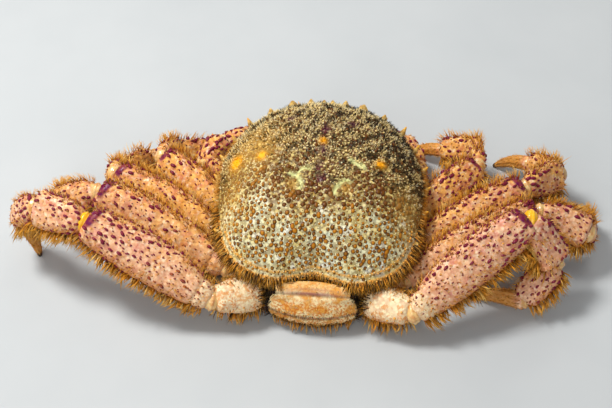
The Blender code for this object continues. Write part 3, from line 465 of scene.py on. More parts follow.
def tube(line, along, radius, sides, hint=(0.3, 0.2, 1.0)):
    """Round sections on a line, square to one direction or to a direction for each point."""
    side = unit(np.cross(along, hint))
    other = np.cross(along, side)
    angle = angles(sides)
    ring = (side[..., None, :] * np.cos(angle)[:, None]
            + other[..., None, :] * np.sin(angle)[:, None])
    return Skin(line[:, None] + ring * radius[:, None, None])


# Limbs

class Limb:
    """One joint of a leg: rounded sections along a straight or bowed line."""

    def __init__(self, joint, start, end, profile, wide, scale=1.0, bow=0.0):
        self.joint = joint
        self.start, self.end = np.asarray(start, float), np.asarray(end, float)
        self.length = float(np.linalg.norm(self.end - self.start))
        self.axis = unit(self.end - self.start)
        self.wide = unit(np.asarray(wide) - self.axis * (self.axis @ np.asarray(wide)))
        self.thin = np.cross(self.axis, self.wide)
        self.profile = np.asarray(profile, float)
        self.scale, self.bow = scale, bow

    def half_sizes(self, t):
        """Half width and half thickness, smoothed along the joint."""
        near = np.linspace(-0.05, 0.05, 7)
        low, high = self.profile[0, 0], self.profile[-1, 0]
        spots = np.clip(t[:, None] + near, low, high)
        return [np.interp(spots, self.profile[:, 0], self.profile[:, n]).mean(axis=1) * self.scale
                for n in (1, 2)]

    def skin(self, low, high, rows, sides, cell, relief, cap, flare):
        """Rounded body from share low to share high, with domed ends."""
        turn = np.radians(np.array([10.0, 30.0, 50.0, 70.0]))
        depth = cap / self.length
        first = low + depth * (1.0 - np.cos(turn))
        last = high - depth * (1.0 - np.cos(turn[::-1]))
        t = np.concatenate([first, np.linspace(low + depth, high - depth, rows), last])
        round_off = np.concatenate([np.sin(turn), np.ones(rows), np.sin(turn[::-1])])
        angle = angles(sides, 0.5)
        wide, thin = self.half_sizes(t)
        lip = flare * bump(t, high - 1.3 * depth, 0.7 * depth)
        wide, thin = (wide + lip) * round_off, (thin + lip) * round_off
        c, s = np.cos(angle), np.sin(angle)
        cs, ss = boxy(c, 0.85), boxy(s, 0.85)
        centre = self.start + (self.end - self.start) * t[:, None]
        centre = centre + self.wide * (self.bow * 4.0 * t * (1.0 - t))[:, None]
        out = unit(self.wide * (c / np.maximum(wide, 0.5)[:, None])[..., None]
                   + self.thin * (s / np.maximum(thin, 0.5)[:, None])[..., None])
        rings = (centre[:, None] + self.wide * (wide[:, None] * cs)[..., None]
                 + self.thin * (thin[:, None] * ss)[..., None])
        along = np.repeat(t[:, None], sides, axis=1)
        around = np.repeat(angle[None], len(t), axis=0)
        rings = rings + out * (relief(along, around, rings) * round_off[:, None])[..., None]
        skin = Skin(rings, cell)
        skin.along, skin.around, skin.out, skin.limb = along, around, out, self
        return skin.keep(along=along)


def direction(side, turn, lift):
    """Way of a joint from its turn towards the front and its lift, both in degrees."""
    turn, lift = math.radians(turn), math.radians(lift)
    return np.array((side * math.cos(turn) * math.cos(lift), math.sin(turn) * math.cos(lift),
                     math.sin(lift)))


def chain(side_name, roots, turns, lengths):
    """Points where the joints of a leg meet, from its root out."""
    side = 1.0 if side_name == "right" else -1.0
    knots = [np.array((side * p[0], p[1], p[2])) for p in roots]
    for (turn, lift), length in zip(turns, lengths.values()):
        if lift is None:
            lift = math.degrees(math.asin(max(-1.0, (FOOT_HEIGHT - knots[-1][2]) / length)))
        knots.append(knots[-1] + direction(side, turn, lift) * length)
    return knots


def leg_limbs(side_name, number):
    """The five joints of one walking leg, and the points where they meet."""
    *turns, last_turn = LEG_POSE[side_name, number]
    knots = chain(side_name, LEG_ROOTS[number], (*turns, (last_turn, None)), LEG_LENGTHS[number])
    wide = (0.0, math.sin(WIDE_TILT), math.cos(WIDE_TILT))
    limbs = {}
    for k, joint in enumerate(("coxa", *LEG_LENGTHS[number])):
        size = HIND_COXA_SCALE if (joint, number) == ("coxa", 4) else LEG_SCALE[number]
        limbs[joint] = Limb(joint, knots[k], knots[k + 1], LEG_PROFILES[joint], wide, size,
                            LEG_BOWS.get(joint, 0.0))
    return limbs, knots


def claw_limbs(side_name):
    """The joints of one claw leg, with its fixed and its moving finger."""
    knots = chain(side_name, CLAW_ROOT, CLAW_POSE[side_name], CLAW_LENGTHS)
    wide = (0.0, 0.0, 1.0)
    limbs = {joint: Limb(joint, knots[k], knots[k + 1], CLAW_PROFILES[joint], wide)
             for k, joint in enumerate(("coxa", "merus", "carpus", "palm"))}
    palm = limbs["palm"]
    for joint, rise, bow in (("fixed", -FINGER_SPREAD, -1.4), ("finger", FINGER_SPREAD, 1.4)):
        base = knots[4] + palm.wide * rise
        limbs[joint] = Limb(joint, base - palm.axis * 4.0, knots[5] + palm.wide * (0.45 * rise),
                            CLAW_PROFILES["finger"], wide, 1.0, bow)
    return limbs, knots


# Materials

def feed(tree, socket, source):
    """Link a socket to another one, or set it to a number, a colour or a thing."""
    source = getattr(source, "socket", source)
    if isinstance(source, bpy.types.NodeSocket):
        tree.links.new(source, socket)
    elif socket.type == "RGBA" and len(source) == 3:
        socket.default_value = (*source, 1.0)
    else:
        socket.default_value = source


def make_node(tree, kind, settings=None, sockets=None):
    """A node with its settings made first and its sockets fed after."""
    node = tree.nodes.new(kind)
    for name, setting in (settings or {}).items():
        setattr(node, name, setting)
    for name, source in (sockets or {}).items():
        if source is not None:
            feed(tree, node.inputs[name], source)
    return node


class Value:
    """A number or colour inside a material; Python's operators add the nodes that work it out."""

    def __init__(self, paint, socket):
        self.paint, self.socket = paint, socket

    def work(self, operation, first, second):
        node = self.paint.make("ShaderNodeMath", {"operation": operation}, {0: first, 1: second})
        return Value(self.paint, node.outputs[0])

    def __add__(self, other):
        return self.work("ADD", self, other)

    def __radd__(self, other):
        return self.work("ADD", other, self)

    def __sub__(self, other):
        return self.work("SUBTRACT", self, other)

    def __rsub__(self, other):
        return self.work("SUBTRACT", other, self)

    def __mul__(self, other):
        return self.work("MULTIPLY", self, other)

    def __rmul__(self, other):
        return self.work("MULTIPLY", other, self)

    def rise(self, low, high):
        """0 below low and 1 above high, with a smooth change between."""
        node = self.paint.make("ShaderNodeMapRange", {"interpolation_type": "SMOOTHSTEP"},
                               {"Value": self, "From Min": low, "From Max": high})
        return Value(self.paint, node.outputs[0])


class Paint:
    """A material built around one Principled shader."""

    def __init__(self, name, **constants):
        self.material = bpy.data.materials.new(name)
        self.material.use_nodes = True
        self.tree = self.material.node_tree
        self.tree.nodes.clear()
        self.shader = self.make("ShaderNodeBsdfPrincipled")
        self.make("ShaderNodeOutputMaterial", None, {"Surface": self.shader.outputs[0]})
        for socket, number in constants.items():
            self.shader.inputs[socket.replace("_", " ")].default_value = number
        self.place = self.make("ShaderNodeTexCoord").outputs["Object"]

    def make(self, kind, settings=None, sockets=None):
        return make_node(self.tree, kind, settings, sockets)

    def stored(self, name):
        """A value that the mesh holds at each point."""
        node = self.make("ShaderNodeAttribute", {"attribute_name": name})
        return Value(self, node.outputs["Fac"])

    def noise(self, size, detail=3.0):
        """Cloudy values from 0 to 1 whose patches are about size millimetres across."""
        node = self.make("ShaderNodeTexNoise", None,
                         {"Vector": self.place, "Scale": 1.0 / (size * MM), "Detail": detail,
                          "Roughness": 0.55})
        return Value(self, node.outputs["Fac"])

    def spots(self, size, low, high):
        """1 in round spots about size millimetres apart and 0 between them."""
        node = self.make("ShaderNodeTexVoronoi", None,
                         {"Vector": self.place, "Scale": 1.0 / (size * MM)})
        return 1.0 - Value(self, node.outputs["Distance"]).rise(low, high)

    def blend(self, first, second, factor):
        node = self.make("ShaderNodeMix", {"data_type": "RGBA"},
                         {"Factor": factor, 6: first, 7: second})
        return Value(self, node.outputs[2])

    def layers(self, colour, *layers):
        """A colour with others laid over it, each as a screen shows it and with its share."""
        for shown, share in layers:
            colour = self.blend(colour, rgb(*shown), share)
        return colour

    def done(self, colour, roughness, height=None, strength=0.5, depth=0.3):
        """Feed the shader what it shows, and hand the material over."""
        feed(self.tree, self.shader.inputs["Base Color"], colour)
        feed(self.tree, self.shader.inputs["Roughness"], roughness)
        if height is not None:
            node = self.make("ShaderNodeBump", None, {"Height": height, "Strength": strength,
                                                      "Distance": depth * MM})
            feed(self.tree, self.shader.inputs["Normal"], node.outputs[0])
        return self.material


def back_tint(paint, colour, much=1.0, golden=1.0):
    """Golden, yellow, violet and pale marks of the back, the same on the skin and its growths."""
    return paint.layers(colour, ((236, 180, 78), paint.stored("gold") * 0.42 * golden),
                        ((255, 176, 0), paint.stored("yellow")),
                        ((84, 10, 44), paint.stored("violet") * 0.95 * much),
                        ((220, 222, 150), paint.stored("scar") * 0.9))


def shell_paint(colours):
    """Blue-white back that turns straw yellow and then olive brown towards the front."""
    paint = Paint("shell_back", Coat_Weight=0.06, Coat_Roughness=0.2, Specular_IOR_Level=0.25)
    cloud, fine = paint.noise(8.0), paint.noise(1.1, 4.0)
    front = paint.stored("front") + (paint.noise(4.5) - 0.5) * 0.5
    pale = paint.layers(tuple(colours.shell), ((226, 200, 118), cloud.rise(0.42, 0.60) * 0.85),
                        ((160, 178, 172), paint.noise(3.1).rise(0.52, 0.72) * 0.55),
                        ((250, 250, 238), paint.noise(5.3).rise(0.54, 0.68) * 0.7))
    straw = paint.layers(rgb(220, 194, 118), ((170, 134, 62), paint.noise(3.4).rise(0.4, 0.65)))
    olive = paint.layers(rgb(238, 210, 134), ((112, 86, 38), paint.noise(2.6).rise(0.42, 0.62)),
                         ((226, 200, 136), fine.rise(0.55, 0.7) * 0.7))
    colour = paint.blend(pale, straw, front.rise(-0.08, 0.22))
    colour = paint.blend(colour, olive, front.rise(0.55, 1.0))
    net = 1.0 - paint.spots(1.7, 0.3, 0.62)
    colour = paint.layers(colour, ((84, 54, 14), net * (0.5 + 0.3 * front.rise(0.0, 0.3))),
                          ((52, 40, 22), paint.stored("clump") * 0.8))
    colour = paint.layers(back_tint(paint, colour, 0.8),
                          ((222, 158, 56), paint.stored("rim") * 0.8))
    height = fine * 0.5 + paint.noise(0.45, 2.0) * 0.5
    return paint.done(colour, 0.34 + 0.25 * fine, height, 0.6, 0.3)


def grain_paint(name, base, dark, top, shade=None):
    """Raised grains: painted shade at the root, painted highlight on top, each a little different."""
    paint = Paint(name, Specular_IOR_Level=0.2, Coat_Weight=0.05, Coat_Roughness=0.2)
    tone, rise = paint.stored("tone"), paint.stored("rise")
    colour = paint.blend(base, dark, tone.rise(0.3, 0.95) * 0.8)
    # Painted shade: the dark colour at the root of each grain, where it meets the skin
    colour = paint.blend(dark, colour, rise.rise(0.05, 0.45))
    # Painted highlight: the top colour laid over the highest part of each grain
    colour = paint.blend(colour, top, rise.rise(0.55, 1.0) * (0.35 + 0.4 * tone))
    if shade:
        shaded = (paint.stored("front") + tone * 0.3).rise(0.0, 0.42)
        colour = paint.blend(colour, shade, shaded * 0.85)
    return paint.done(back_tint(paint, colour), 0.36, paint.noise(0.5, 2.0), 0.3, 0.1)


def limb_paint(colours):
    """Pinkish cream shell of the legs, golden at the front and purple at the knees."""
    paint = Paint("leg_shell", Coat_Weight=0.08, Coat_Roughness=0.2, Specular_IOR_Level=0.25,
                  Subsurface_Weight=0.05, Subsurface_Scale=0.003)
    cloud, fine = paint.noise(7.0), paint.noise(1.0, 4.0)
    warm = (paint.stored("warm") + (cloud - 0.5) * 0.8).rise(0.15, 0.95)
    pink = (paint.noise(4.2) + paint.stored("front") * 0.1).rise(0.5, 0.75)
    cream, pits = paint.stored("cream"), 1.0 - paint.spots(1.9, 0.3, 0.62)
    purple = (paint.stored("purple") + (paint.noise(2.0) - 0.5) * 0.5).rise(0.35, 0.8)
    colour = paint.layers(
        tuple(colours.leg), ((248, 188, 96), warm), ((200, 98, 98), pink * 0.6),
        ((255, 234, 196), paint.noise(2.2).rise(0.5, 0.66) * 0.6),
        ((226, 144, 44), paint.noise(3.3).rise(0.55, 0.7) * 0.6), ((252, 234, 188), cream),
        ((226, 134, 40), paint.stored("lump") * fine.rise(0.48, 0.62)), ((104, 0, 66), purple),
        ((208, 122, 24), paint.stored("under") * 0.7), ((176, 84, 34), pits * 0.35),
        ((204, 138, 52), paint.stored("claw") * 0.85), ((46, 24, 14), paint.stored("horn")),
        ((248, 228, 182), cream * cloud.rise(0.44, 0.58) * 0.6),
        ((222, 142, 62), cream * paint.noise(2.4).rise(0.52, 0.64) * 0.75))
    height = fine * 0.6 + paint.spots(1.6, 0.1, 0.45) * 0.5
    return paint.done(colour, 0.3 + 0.22 * fine, height, 0.6, 0.3)


def belly_paint():
    """Cream and orange armour of the belly flap and breastplate."""
    paint = Paint("belly_shell", Coat_Weight=0.08, Coat_Roughness=0.2, Specular_IOR_Level=0.25,
                  Subsurface_Weight=0.06, Subsurface_Scale=0.003)
    cloud, fine = paint.noise(5.0), paint.noise(1.0, 4.0)
    colour = paint.layers(
        rgb(246, 220, 164), ((228, 160, 66), cloud.rise(0.42, 0.6)),
        ((232, 168, 76), paint.stored("first") * 0.6),
        ((210, 116, 24), paint.stored("lump") * fine.rise(0.45, 0.58)),
        ((128, 66, 92), paint.stored("violet") * 0.8), ((112, 72, 28), paint.stored("seam") * 0.6),
        ((214, 206, 160), paint.noise(3.0).rise(0.55, 0.72) * 0.5))
    height = fine * 0.6 + paint.spots(1.5, 0.1, 0.45) * 0.4
    return paint.done(colour, 0.36 + 0.2 * fine, height, 0.45, 0.25)


def skin_paint():
    """Wet joint skin, orange at most joints and yellow at the hind knees."""
    paint = Paint("joint_skin", Coat_Weight=0.4, Coat_Roughness=0.12, Specular_IOR_Level=0.5,
                  Subsurface_Weight=0.2, Subsurface_Scale=0.002)
    colour = paint.layers(rgb(240, 200, 132), ((212, 144, 74), paint.noise(2.5).rise(0.4, 0.7)),
                          ((252, 184, 16), paint.stored("bright")))
    return paint.done(colour, 0.28, paint.noise(0.8, 3.0), 0.5, 0.3)


def bristle_paint(name, root, tips, pale):
    """Stiff bristles, dark at the root and golden where the light comes through the tips."""
    paint = Paint(name, Specular_IOR_Level=0.2)
    colour = paint.blend(root, tips, paint.stored("rise").rise(0.05, 0.7))
    colour = paint.blend(colour, pale, paint.stored("tone").rise(0.5, 1.0) * 0.6)
    return paint.done(back_tint(paint, colour, 1.0, 0.3), 0.45)


def horn_paint():
    """Dark brown horn of the finger tips and claws."""
    paint = Paint("horn", Coat_Weight=0.3, Coat_Roughness=0.15, Specular_IOR_Level=0.5)
    colour = paint.layers(rgb(226, 170, 104), ((150, 84, 44), paint.noise(2.0).rise(0.4, 0.7)),
                          ((44, 24, 16), paint.stored("along").rise(0.25, 0.6)))
    return paint.done(colour, 0.3, paint.noise(0.8), 0.3, 0.15)


def eye_paint():
    """Black, faceted, wet cornea on a pale orange stalk."""
    paint = Paint("eye", Coat_Roughness=0.04, Coat_Weight=0.9, Specular_IOR_Level=0.6)
    facets, stalk = paint.spots(0.3, 0.1, 0.5), paint.stored("stalk")
    colour = paint.layers(rgb(14, 11, 12), ((52, 32, 24), facets * 0.35), ((206, 138, 74), stalk))
    return paint.done(colour, 0.16 + stalk * 0.3, facets, 0.15, 0.05)


def floor_paint():
    """Pale grey floor."""
    paint = Paint("floor", Specular_IOR_Level=0.3)
    return paint.done(paint.layers(rgb(196, 198, 197), ((184, 187, 187), paint.noise(60.0))), 0.7)


# Small pieces that grow over a skin, each with its own patch of the map

def tuft(draw, count, thick, splay, bend):
    """Tuft of stiff three-sided bristles one millimetre long, bent towards +X."""
    points, faces, rise, patch = [], [], [], []
    across, up, end = TUFT_PATCH
    for _ in range(count):
        heading = draw.uniform(0, 2 * math.pi)
        lean = np.array((math.cos(heading), math.sin(heading), 0.0)) * splay * draw.uniform(0.2, 1)
        tall = draw.uniform(0.7, 1.0)
        foot = lean * 0.12
        start = len(points)
        for level, wide in ((-0.12, 1.0), (0.5, 0.72)):
            above = max(level, 0.0)
            spot = foot + lean * above + np.array((bend * above ** 2, 0, level)) * tall
            for n in range(3):
                angle = 2 * math.pi * n / 3 + heading
                points.append(spot + np.array((math.cos(angle), math.sin(angle), 0)) * thick * wide)
                rise.append(above)
                patch.append((across * n, up * above, 0.0))
        points.append(foot + lean + np.array((bend, 0.0, 1.0)) * tall)
        rise.append(1.0)
        patch.append((across, end, 0.0))
        for n in range(3):
            m = (n + 1) % 3
            faces += [(start + n, start + m, start + 3 + m, start + 3 + n),
                      (start + 3 + n, start + 3 + m, start + 6)]
        faces.append((start + 2, start + 1, start))
    return mesh_of("tuft", points, faces, {"rise": np.array(rise), "patch": np.array(patch)})


def grain(draw, sides, profile, stretch):
    """Small raised grain from a list of (radius, height), a little uneven, long along +X."""
    points, faces, rise, patch = [], [], [], []
    tallest = profile[-1][1]
    uneven = [draw.uniform(0.86, 1.14) for _ in range(sides)]
    for radius, height in profile[:-1]:
        for n in range(sides):
            angle = 2 * math.pi * n / sides
            wide = radius * uneven[n]
            points.append((stretch * wide * math.cos(angle), wide * math.sin(angle), height))
            rise.append(max(0.0, height / tallest))
            reach = GRAIN_PATCH * radius / profile[0][0]
            patch.append((reach * math.cos(angle), reach * math.sin(angle), 0.0))
    points.append((0.25 * (stretch - 1.0), 0.0, tallest))
    rise.append(1.0)
    patch.append((0.0, 0.0, 0.0))
    last = (len(profile) - 2) * sides
    for n in range(sides):
        m = (n + 1) % sides
        faces += [(k + n, k + m, k + sides + m, k + sides + n) for k in range(0, last, sides)]
        faces.append((last + n, last + m, len(points) - 1))
    faces.append(tuple(reversed(range(sides))))
    return mesh_of("grain", points, faces, {"rise": np.array(rise), "patch": np.array(patch)})


def bundle(name, meshes):
    """Collection that the growth picks its pieces from."""
    group = bpy.data.collections.new(name)
    for k, mesh in enumerate(meshes):
        group.objects.link(bpy.data.objects.new("%s_%d" % (name, k), mesh))
    return group


def growth_tree():
    """Geometry Nodes: points over a skin, a piece on each, made real, mapped and painted."""
    tree = bpy.data.node_groups.new("grow on skin", "GeometryNodeTree")
    faces = tree.interface
    faces.new_socket(name="Geometry", in_out="OUTPUT", socket_type="NodeSocketGeometry")
    for title, kind in (("Geometry", "Geometry"), ("Pieces", "Collection"), ("Paint", "Material"),
                        ("Least Distance", "Float"), ("Lean", "Float"), ("Spread", "Float"),
                        ("Least Size", "Float"), ("Most Size", "Float"), ("Seed", "Int")):
        faces.new_socket(name=title, in_out="INPUT", socket_type="NodeSocket" + kind)

    def node(kind, settings=None, sockets=None):
        return make_node(tree, kind, settings, sockets)

    def vector(operation, first, second=None, scale=None):
        return node("ShaderNodeVectorMath", {"operation": operation},
                    {0: first, 1: second, "Scale": scale}).outputs[0]

    def number(operation, first, second):
        return node("ShaderNodeMath", {"operation": operation}, {0: first, 1: second}).outputs[0]

    def stored(name, kind="FLOAT"):
        return node("GeometryNodeInputNamedAttribute", {"data_type": kind},
                    {"Name": name}).outputs[0]

    given = node("NodeGroupInput").outputs
    apart = given["Least Distance"]
    dense = number("DIVIDE", 2.2, number("MULTIPLY", apart, apart))
    spread_out = node("GeometryNodeDistributePointsOnFaces", {"distribute_method": "POISSON"},
                      {"Mesh": given["Geometry"], "Distance Min": apart, "Density Max": dense,
                       "Density Factor": stored("grow"), "Seed": given["Seed"]})
    stray = node("FunctionNodeRandomValue", {"data_type": "FLOAT_VECTOR"},
                 {"Min": (-1.0, -1.0, -1.0), "Max": (1.0, 1.0, 1.0),
                  "Seed": given["Seed"]}).outputs[0]
    lie = stored("lie", "FLOAT_VECTOR")
    upright = vector("SCALE", spread_out.outputs["Normal"], None,
                     number("SUBTRACT", 1.0, given["Lean"]))
    leaning = vector("ADD", upright, vector("SCALE", lie, None, given["Lean"]))
    heading = vector("ADD", leaning, vector("SCALE", stray, None, given["Spread"]))
    turn = node("FunctionNodeAlignRotationToVector", {"axis": "Z"}, {"Vector": heading}).outputs[0]
    side = vector("ADD", lie, vector("SCALE", stray, None, 0.4))
    turn = node("FunctionNodeAlignRotationToVector", {"axis": "X", "pivot_axis": "Z"},
                {"Rotation": turn, "Vector": side}).outputs[0]

    def random_number(low, high, extra):
        return node("FunctionNodeRandomValue", {"data_type": "FLOAT"},
                    {2: low, 3: high, "Seed": number("ADD", given["Seed"], extra)}).outputs[1]

    toned = node("GeometryNodeStoreNamedAttribute", {"data_type": "FLOAT", "domain": "POINT"},
                 {"Geometry": spread_out.outputs["Points"], "Name": "tone",
                  "Value": random_number(0.0, 1.0, 5.0)})
    size = number("MULTIPLY", stored("size"),
                  random_number(given["Least Size"], given["Most Size"], 9.0))
    pieces = node("GeometryNodeCollectionInfo", None,
                  {"Collection": given["Pieces"], "Separate Children": True,
                   "Reset Children": True})
    set_out = node("GeometryNodeInstanceOnPoints", None,
                   {"Points": toned.outputs[0], "Instance": pieces.outputs[0],
                    "Pick Instance": True, "Rotation": turn, "Scale": size})
    real = node("GeometryNodeRealizeInstances", None, {"Geometry": set_out.outputs[0]})
    spot = vector("ADD", stored("place", "FLOAT_VECTOR"), stored("patch", "FLOAT_VECTOR"))
    mapped = node("GeometryNodeStoreNamedAttribute", {"data_type": "FLOAT2", "domain": "CORNER"},
                  {"Geometry": real.outputs[0], "Name": "OFBake", "Value": spot})
    painted = node("GeometryNodeSetMaterial", None, {"Geometry": mapped.outputs[0],
                                                     "Material": given["Paint"]})
    output = node("NodeGroupOutput")
    tree.links.new(painted.outputs[0], output.inputs[0])
    return tree


# Grains: sides, count of shapes, stretch of the first, more for each next, (radius, height) pairs
GRAINS = {
    "domes": (8, 4, 1.0, 0.12, ((1.2, -0.4), (1.14, 0.02), (0.92, 0.2), (0.6, 0.46), (0.0, 0.56))),
    "spikes": (5, 3, 1.0, 0.0, ((1.0, -0.3), (0.8, 0.35), (0.4, 1.0), (0.0, 1.5))),
    "dashes": (7, 4, 2.0, 0.0, ((0.9, -0.3), (0.85, 0.2), (0.5, 0.7), (0.0, 0.95))),
    "beads": (6, 3, 1.0, 0.0, ((0.9, -0.3), (0.95, 0.3), (0.6, 0.68), (0.0, 0.8))),
}
# Tufts: count of shapes, then bristles in each, their thickness, splay and bend
TUFTS = {"stubs": (5, 4, 0.075, 0.7, 0.25), "long": (6, 3, 0.030, 0.34, 0.25),
         "comb": (5, 2, 0.045, 0.16, 0.2)}
# Colours of the plain grains, from base to dark (also the painted shade at the root) and the
# painted highlight on top, and of the plain bristles, from root to tip and pale tip
GRAIN_COLOURS = {
    "pale_granule": ((226, 214, 166), (170, 142, 84), (246, 240, 208)),
    "granule": ((230, 198, 122), (120, 88, 36), (252, 236, 184)),
    "speck": ((70, 44, 14), (34, 22, 10), (150, 98, 34)),
    "bead": ((232, 152, 40), (196, 118, 34), (252, 216, 130)),
}
BRISTLE_COLOURS = {
    "black_bristles": ((14, 11, 8), (36, 27, 14), (104, 80, 40)),
    "brown_bristles": ((44, 28, 10), (112, 74, 22), (184, 134, 60)),
    "pale_bristles": ((196, 158, 84), (255, 228, 158), (255, 246, 210)),
}
# Growths: pieces, paint, seed, least distance in millimetres (None is given when it grows), lean
# along the skin, stray and, where they aren't the usual ones, least and most size
USUAL_SIZES = (0.75, 1.2)
GROWTHS = {
    "shell_tubercles": ("domes", "tubercle", 1, None, 0.0, 0.05, 0.7, 1.3),
    "shell_fine_grains": ("beads", "pale_granule", 2, 1.5, 0.0, 0.05, 0.7, 1.4),
    "shell_specks": ("beads", "speck", 12, 1.5, 0.0, 0.05, 0.6, 1.4),
    "shell_granules": ("beads", "granule", 3, None, 0.1, 0.1, 0.7, 1.4),
    "shell_rim_beads": ("beads", "bead", 5, 1.2, 0.0, 0.1),
    "shell_front_setae": ("stubs", "black_bristles", 6, 1.3, 0.35, 0.45),
    "shell_straw_setae": ("stubs", "pale_bristles", 11, 1.15, 0.45, 0.4),
    "shell_rear_setae": ("stubs", "brown_bristles", 7, 2.6, 0.3, 0.5),
    "shell_side_fringe": ("long", "gold_bristles", 8, None, 0.6, 0.18, 0.7, 1.1),
    "shell_comb": ("comb", "brown_bristles", 9, 1.0, 0.75, 0.12, 0.7, 1.05),
    "shell_golden_comb": ("comb", "gold_bristles", 13, 1.2, 0.75, 0.16, 0.7, 1.1),
    "shell_rear_fringe": ("comb", "gold_bristles", 14, 0.75, 0.75, 0.2, 0.7, 1.2),
    "shell_rear_roots": ("long", "black_bristles", 15, 0.9, 0.75, 0.3, 0.7, 1.2),
    "shell_wall_setae": ("stubs", "gold_bristles", 10, 1.8, 0.5, 0.3),
    "flap_grains": ("beads", "bead", 21, 2.0, 0.0, 0.1),
    "flap_fringe": ("long", "brown_bristles", 22, 0.75, 0.75, 0.2, 0.6, 1.2),
    "flap_side_hair": ("long", "black_bristles", 26, 0.8, 0.6, 0.3),
    "flap_long_fringe": ("comb", "gold_bristles", 23, 1.0, 0.7, 0.22),
    "flap_low_hair": ("stubs", "brown_bristles", 27, 1.1, 0.6, 0.3),
    "flap_setae": ("stubs", "pale_bristles", 24, 1.8, 0.6, 0.3),
    "breastplate_bristles": ("long", "black_bristles", 25, 0.9, 0.5, 0.35),
    "breastplate_setae": ("stubs", "gold_bristles", 28, 1.3, 0.6, 0.35),
    "breastplate_grains": ("beads", "speck", 29, 2.0, 0.0, 0.1),
    "spinules": ("dashes", "spinule", 100, None, 0.15, 0.1, 0.55, 1.35),
    "fine_spinules": ("dashes", "spinule", 110, 2.3, 0.4, 0.1),
    "lumps": ("beads", "bead", 120, 2.4, 0.0, 0.1),
    "ridge_spines": ("spikes", "spinule", 130, 3.4, 0.3, 0.1),
    "setae": ("stubs", "gold_bristles", 140, 2.2, 0.6, 0.3),
    "fringe": ("comb", "gold_bristles", 150, None, 0.45, 0.28, 0.5, 1.15),
    "dark_fringe": ("comb", "brown_bristles", 180, 1.9, 0.45, 0.25, 0.5, 1.1),
    "side_fringe": ("long", "gold_bristles", 160, 1.5, 0.65, 0.2),
    "upper_fringe": ("long", "gold_bristles", 170, 1.3, 0.5, 0.25),
    "coxa_dark_hair": ("comb", "black_bristles", 196, 0.9, 0.6, 0.3),
    "coxa_hair": ("long", "gold_bristles", 197, 1.1, 0.6, 0.3),
    "tip_hair": ("long", "gold_bristles", 190, 1.2, 0.8, 0.2),
    "jaw_bristles": ("long", "gold_bristles", 31, 0.7, 0.5, 0.3),
    "jaw_setae": ("stubs", "brown_bristles", 34, 1.2, 0.7, 0.4),
    "feeler_bristles": ("stubs", "pale_bristles", 33, 1.3, 0.5, 0.3),
}


class Bed:
    """Skins that pieces grow on, with the facts of each of their points."""

    def __init__(self, kit, skins, slot, label="", number=0):
        self.kit, self.skins, self.slot = kit, skins, slot
        self.label, self.number = label, number
        self.points, self.faces, self.values = joined(skins)

    def flat(self, name):
        """Array kept ring by ring beside each skin, in the order of the joined points."""
        rows = []
        for skin in self.skins:
            kept = getattr(skin, name)
            ends = [kept[0].mean(axis=0), kept[-1].mean(axis=0)]
            rows.append(np.concatenate([kept.reshape(-1, *kept.shape[2:]), ends]))
        return np.concatenate(rows)

    def of_joints(self, fact):
        """A fact of each skin's joint, the same for all of its points."""
        return np.concatenate([np.repeat(np.array(fact(skin.limb), float)[None],
                                         len(skin.points), axis=0) for skin in self.skins])

    def grow(self, name, where, way, size, apart=None):
        """Grow small pieces, as GROWTHS says, and hand them over as one piece of the crab."""
        pieces, paint, seed, step_size, lean, spread, *sizes = GROWTHS[name]
        count = len(self.points)
        guides = {"grow": np.broadcast_to(where, count), "lie": np.broadcast_to(way, (count, 3)),
                  "size": np.broadcast_to(size, count)}
        bed = link("bed", mesh_of("bed", self.points, self.faces, {**self.values, **guides}))
        modifier = bed.modifiers.new("grow", "NODES")
        modifier.node_group = self.kit.tree
        least, most = sizes or USUAL_SIZES
        given = {"Pieces": self.kit.pieces[pieces], "Paint": self.kit.paints[paint],
                 "Least Distance": apart or step_size, "Lean": lean, "Spread": spread,
                 "Least Size": least, "Most Size": most, "Seed": seed + self.number}
        for item in self.kit.tree.interface.items_tree:
            if item.in_out == "INPUT" and item.name in given:
                modifier[item.identifier] = given[item.name]
        shape = bed.evaluated_get(bpy.context.evaluated_depsgraph_get())
        grown = bpy.data.meshes.new_from_object(shape)
        bpy.data.objects.remove(bed, do_unlink=True)
        finish(name + self.label, grown, None, "bristle" if pieces in TUFTS else self.slot)


# Back shell

# Marks of the back as the photo has them: middle, half width and half length, or points of a bow
YELLOW_SPOTS = ((-27.7, 4.0, 2.0, 2.0), (26.8, 2.6, 2.2, 1.8), (0.0, 12.0, 1.6, 1.8),
                (-40.0, 4.0, 2.4, 3.5))
VIOLET_SPOTS = ((0.9, 19.0, 2.4, 3.0), (0.3, 7.4, 1.9, 3.2), (-0.8, -2.0, 1.5, 2.4),
                (0.5, -8.5, 2.0, 2.6), (13.5, 25.0, 2.6, 1.8), (-16.0, 27.0, 3.0, 1.6))
SCARS = (((-14.0, -5.8), (-10.3, -7.0), (-8.3, -10.6), (-8.8, -13.6)),
         ((14.0, -8.1), (11.4, -7.2), (9.4, -9.1), (8.0, -11.9), (6.9, -15.6)),
         ((13.3, 3.2), (16.2, 0.6), (20.1, -0.6)), ((-9.9, -4.6), (-7.4, -3.0), (-4.8, -3.2)))


def half_outline(share):
    """Right half of the shell's outline, from the brow to the middle of the rear margin."""
    spots = catmull(SHELL_OUTLINE, share)
    return np.stack([spots[..., 0] * SHELL_WIDTH / 2, SHELL_REAR + spots[..., 1] * SHELL_LENGTH], -1)


def rim_radius(angle):
    """Distance from the shell's middle to its rim, for angles measured from the front."""
    half = half_outline(np.linspace(0.0, 1.0, 600))
    x, y = half[:, 0], half[:, 1] - SHELL_MIDDLE_Y
    turn = np.abs((angle + math.pi) % (2 * math.pi) - math.pi)
    return np.interp(turn, np.arctan2(np.abs(x), y), np.hypot(x, y))


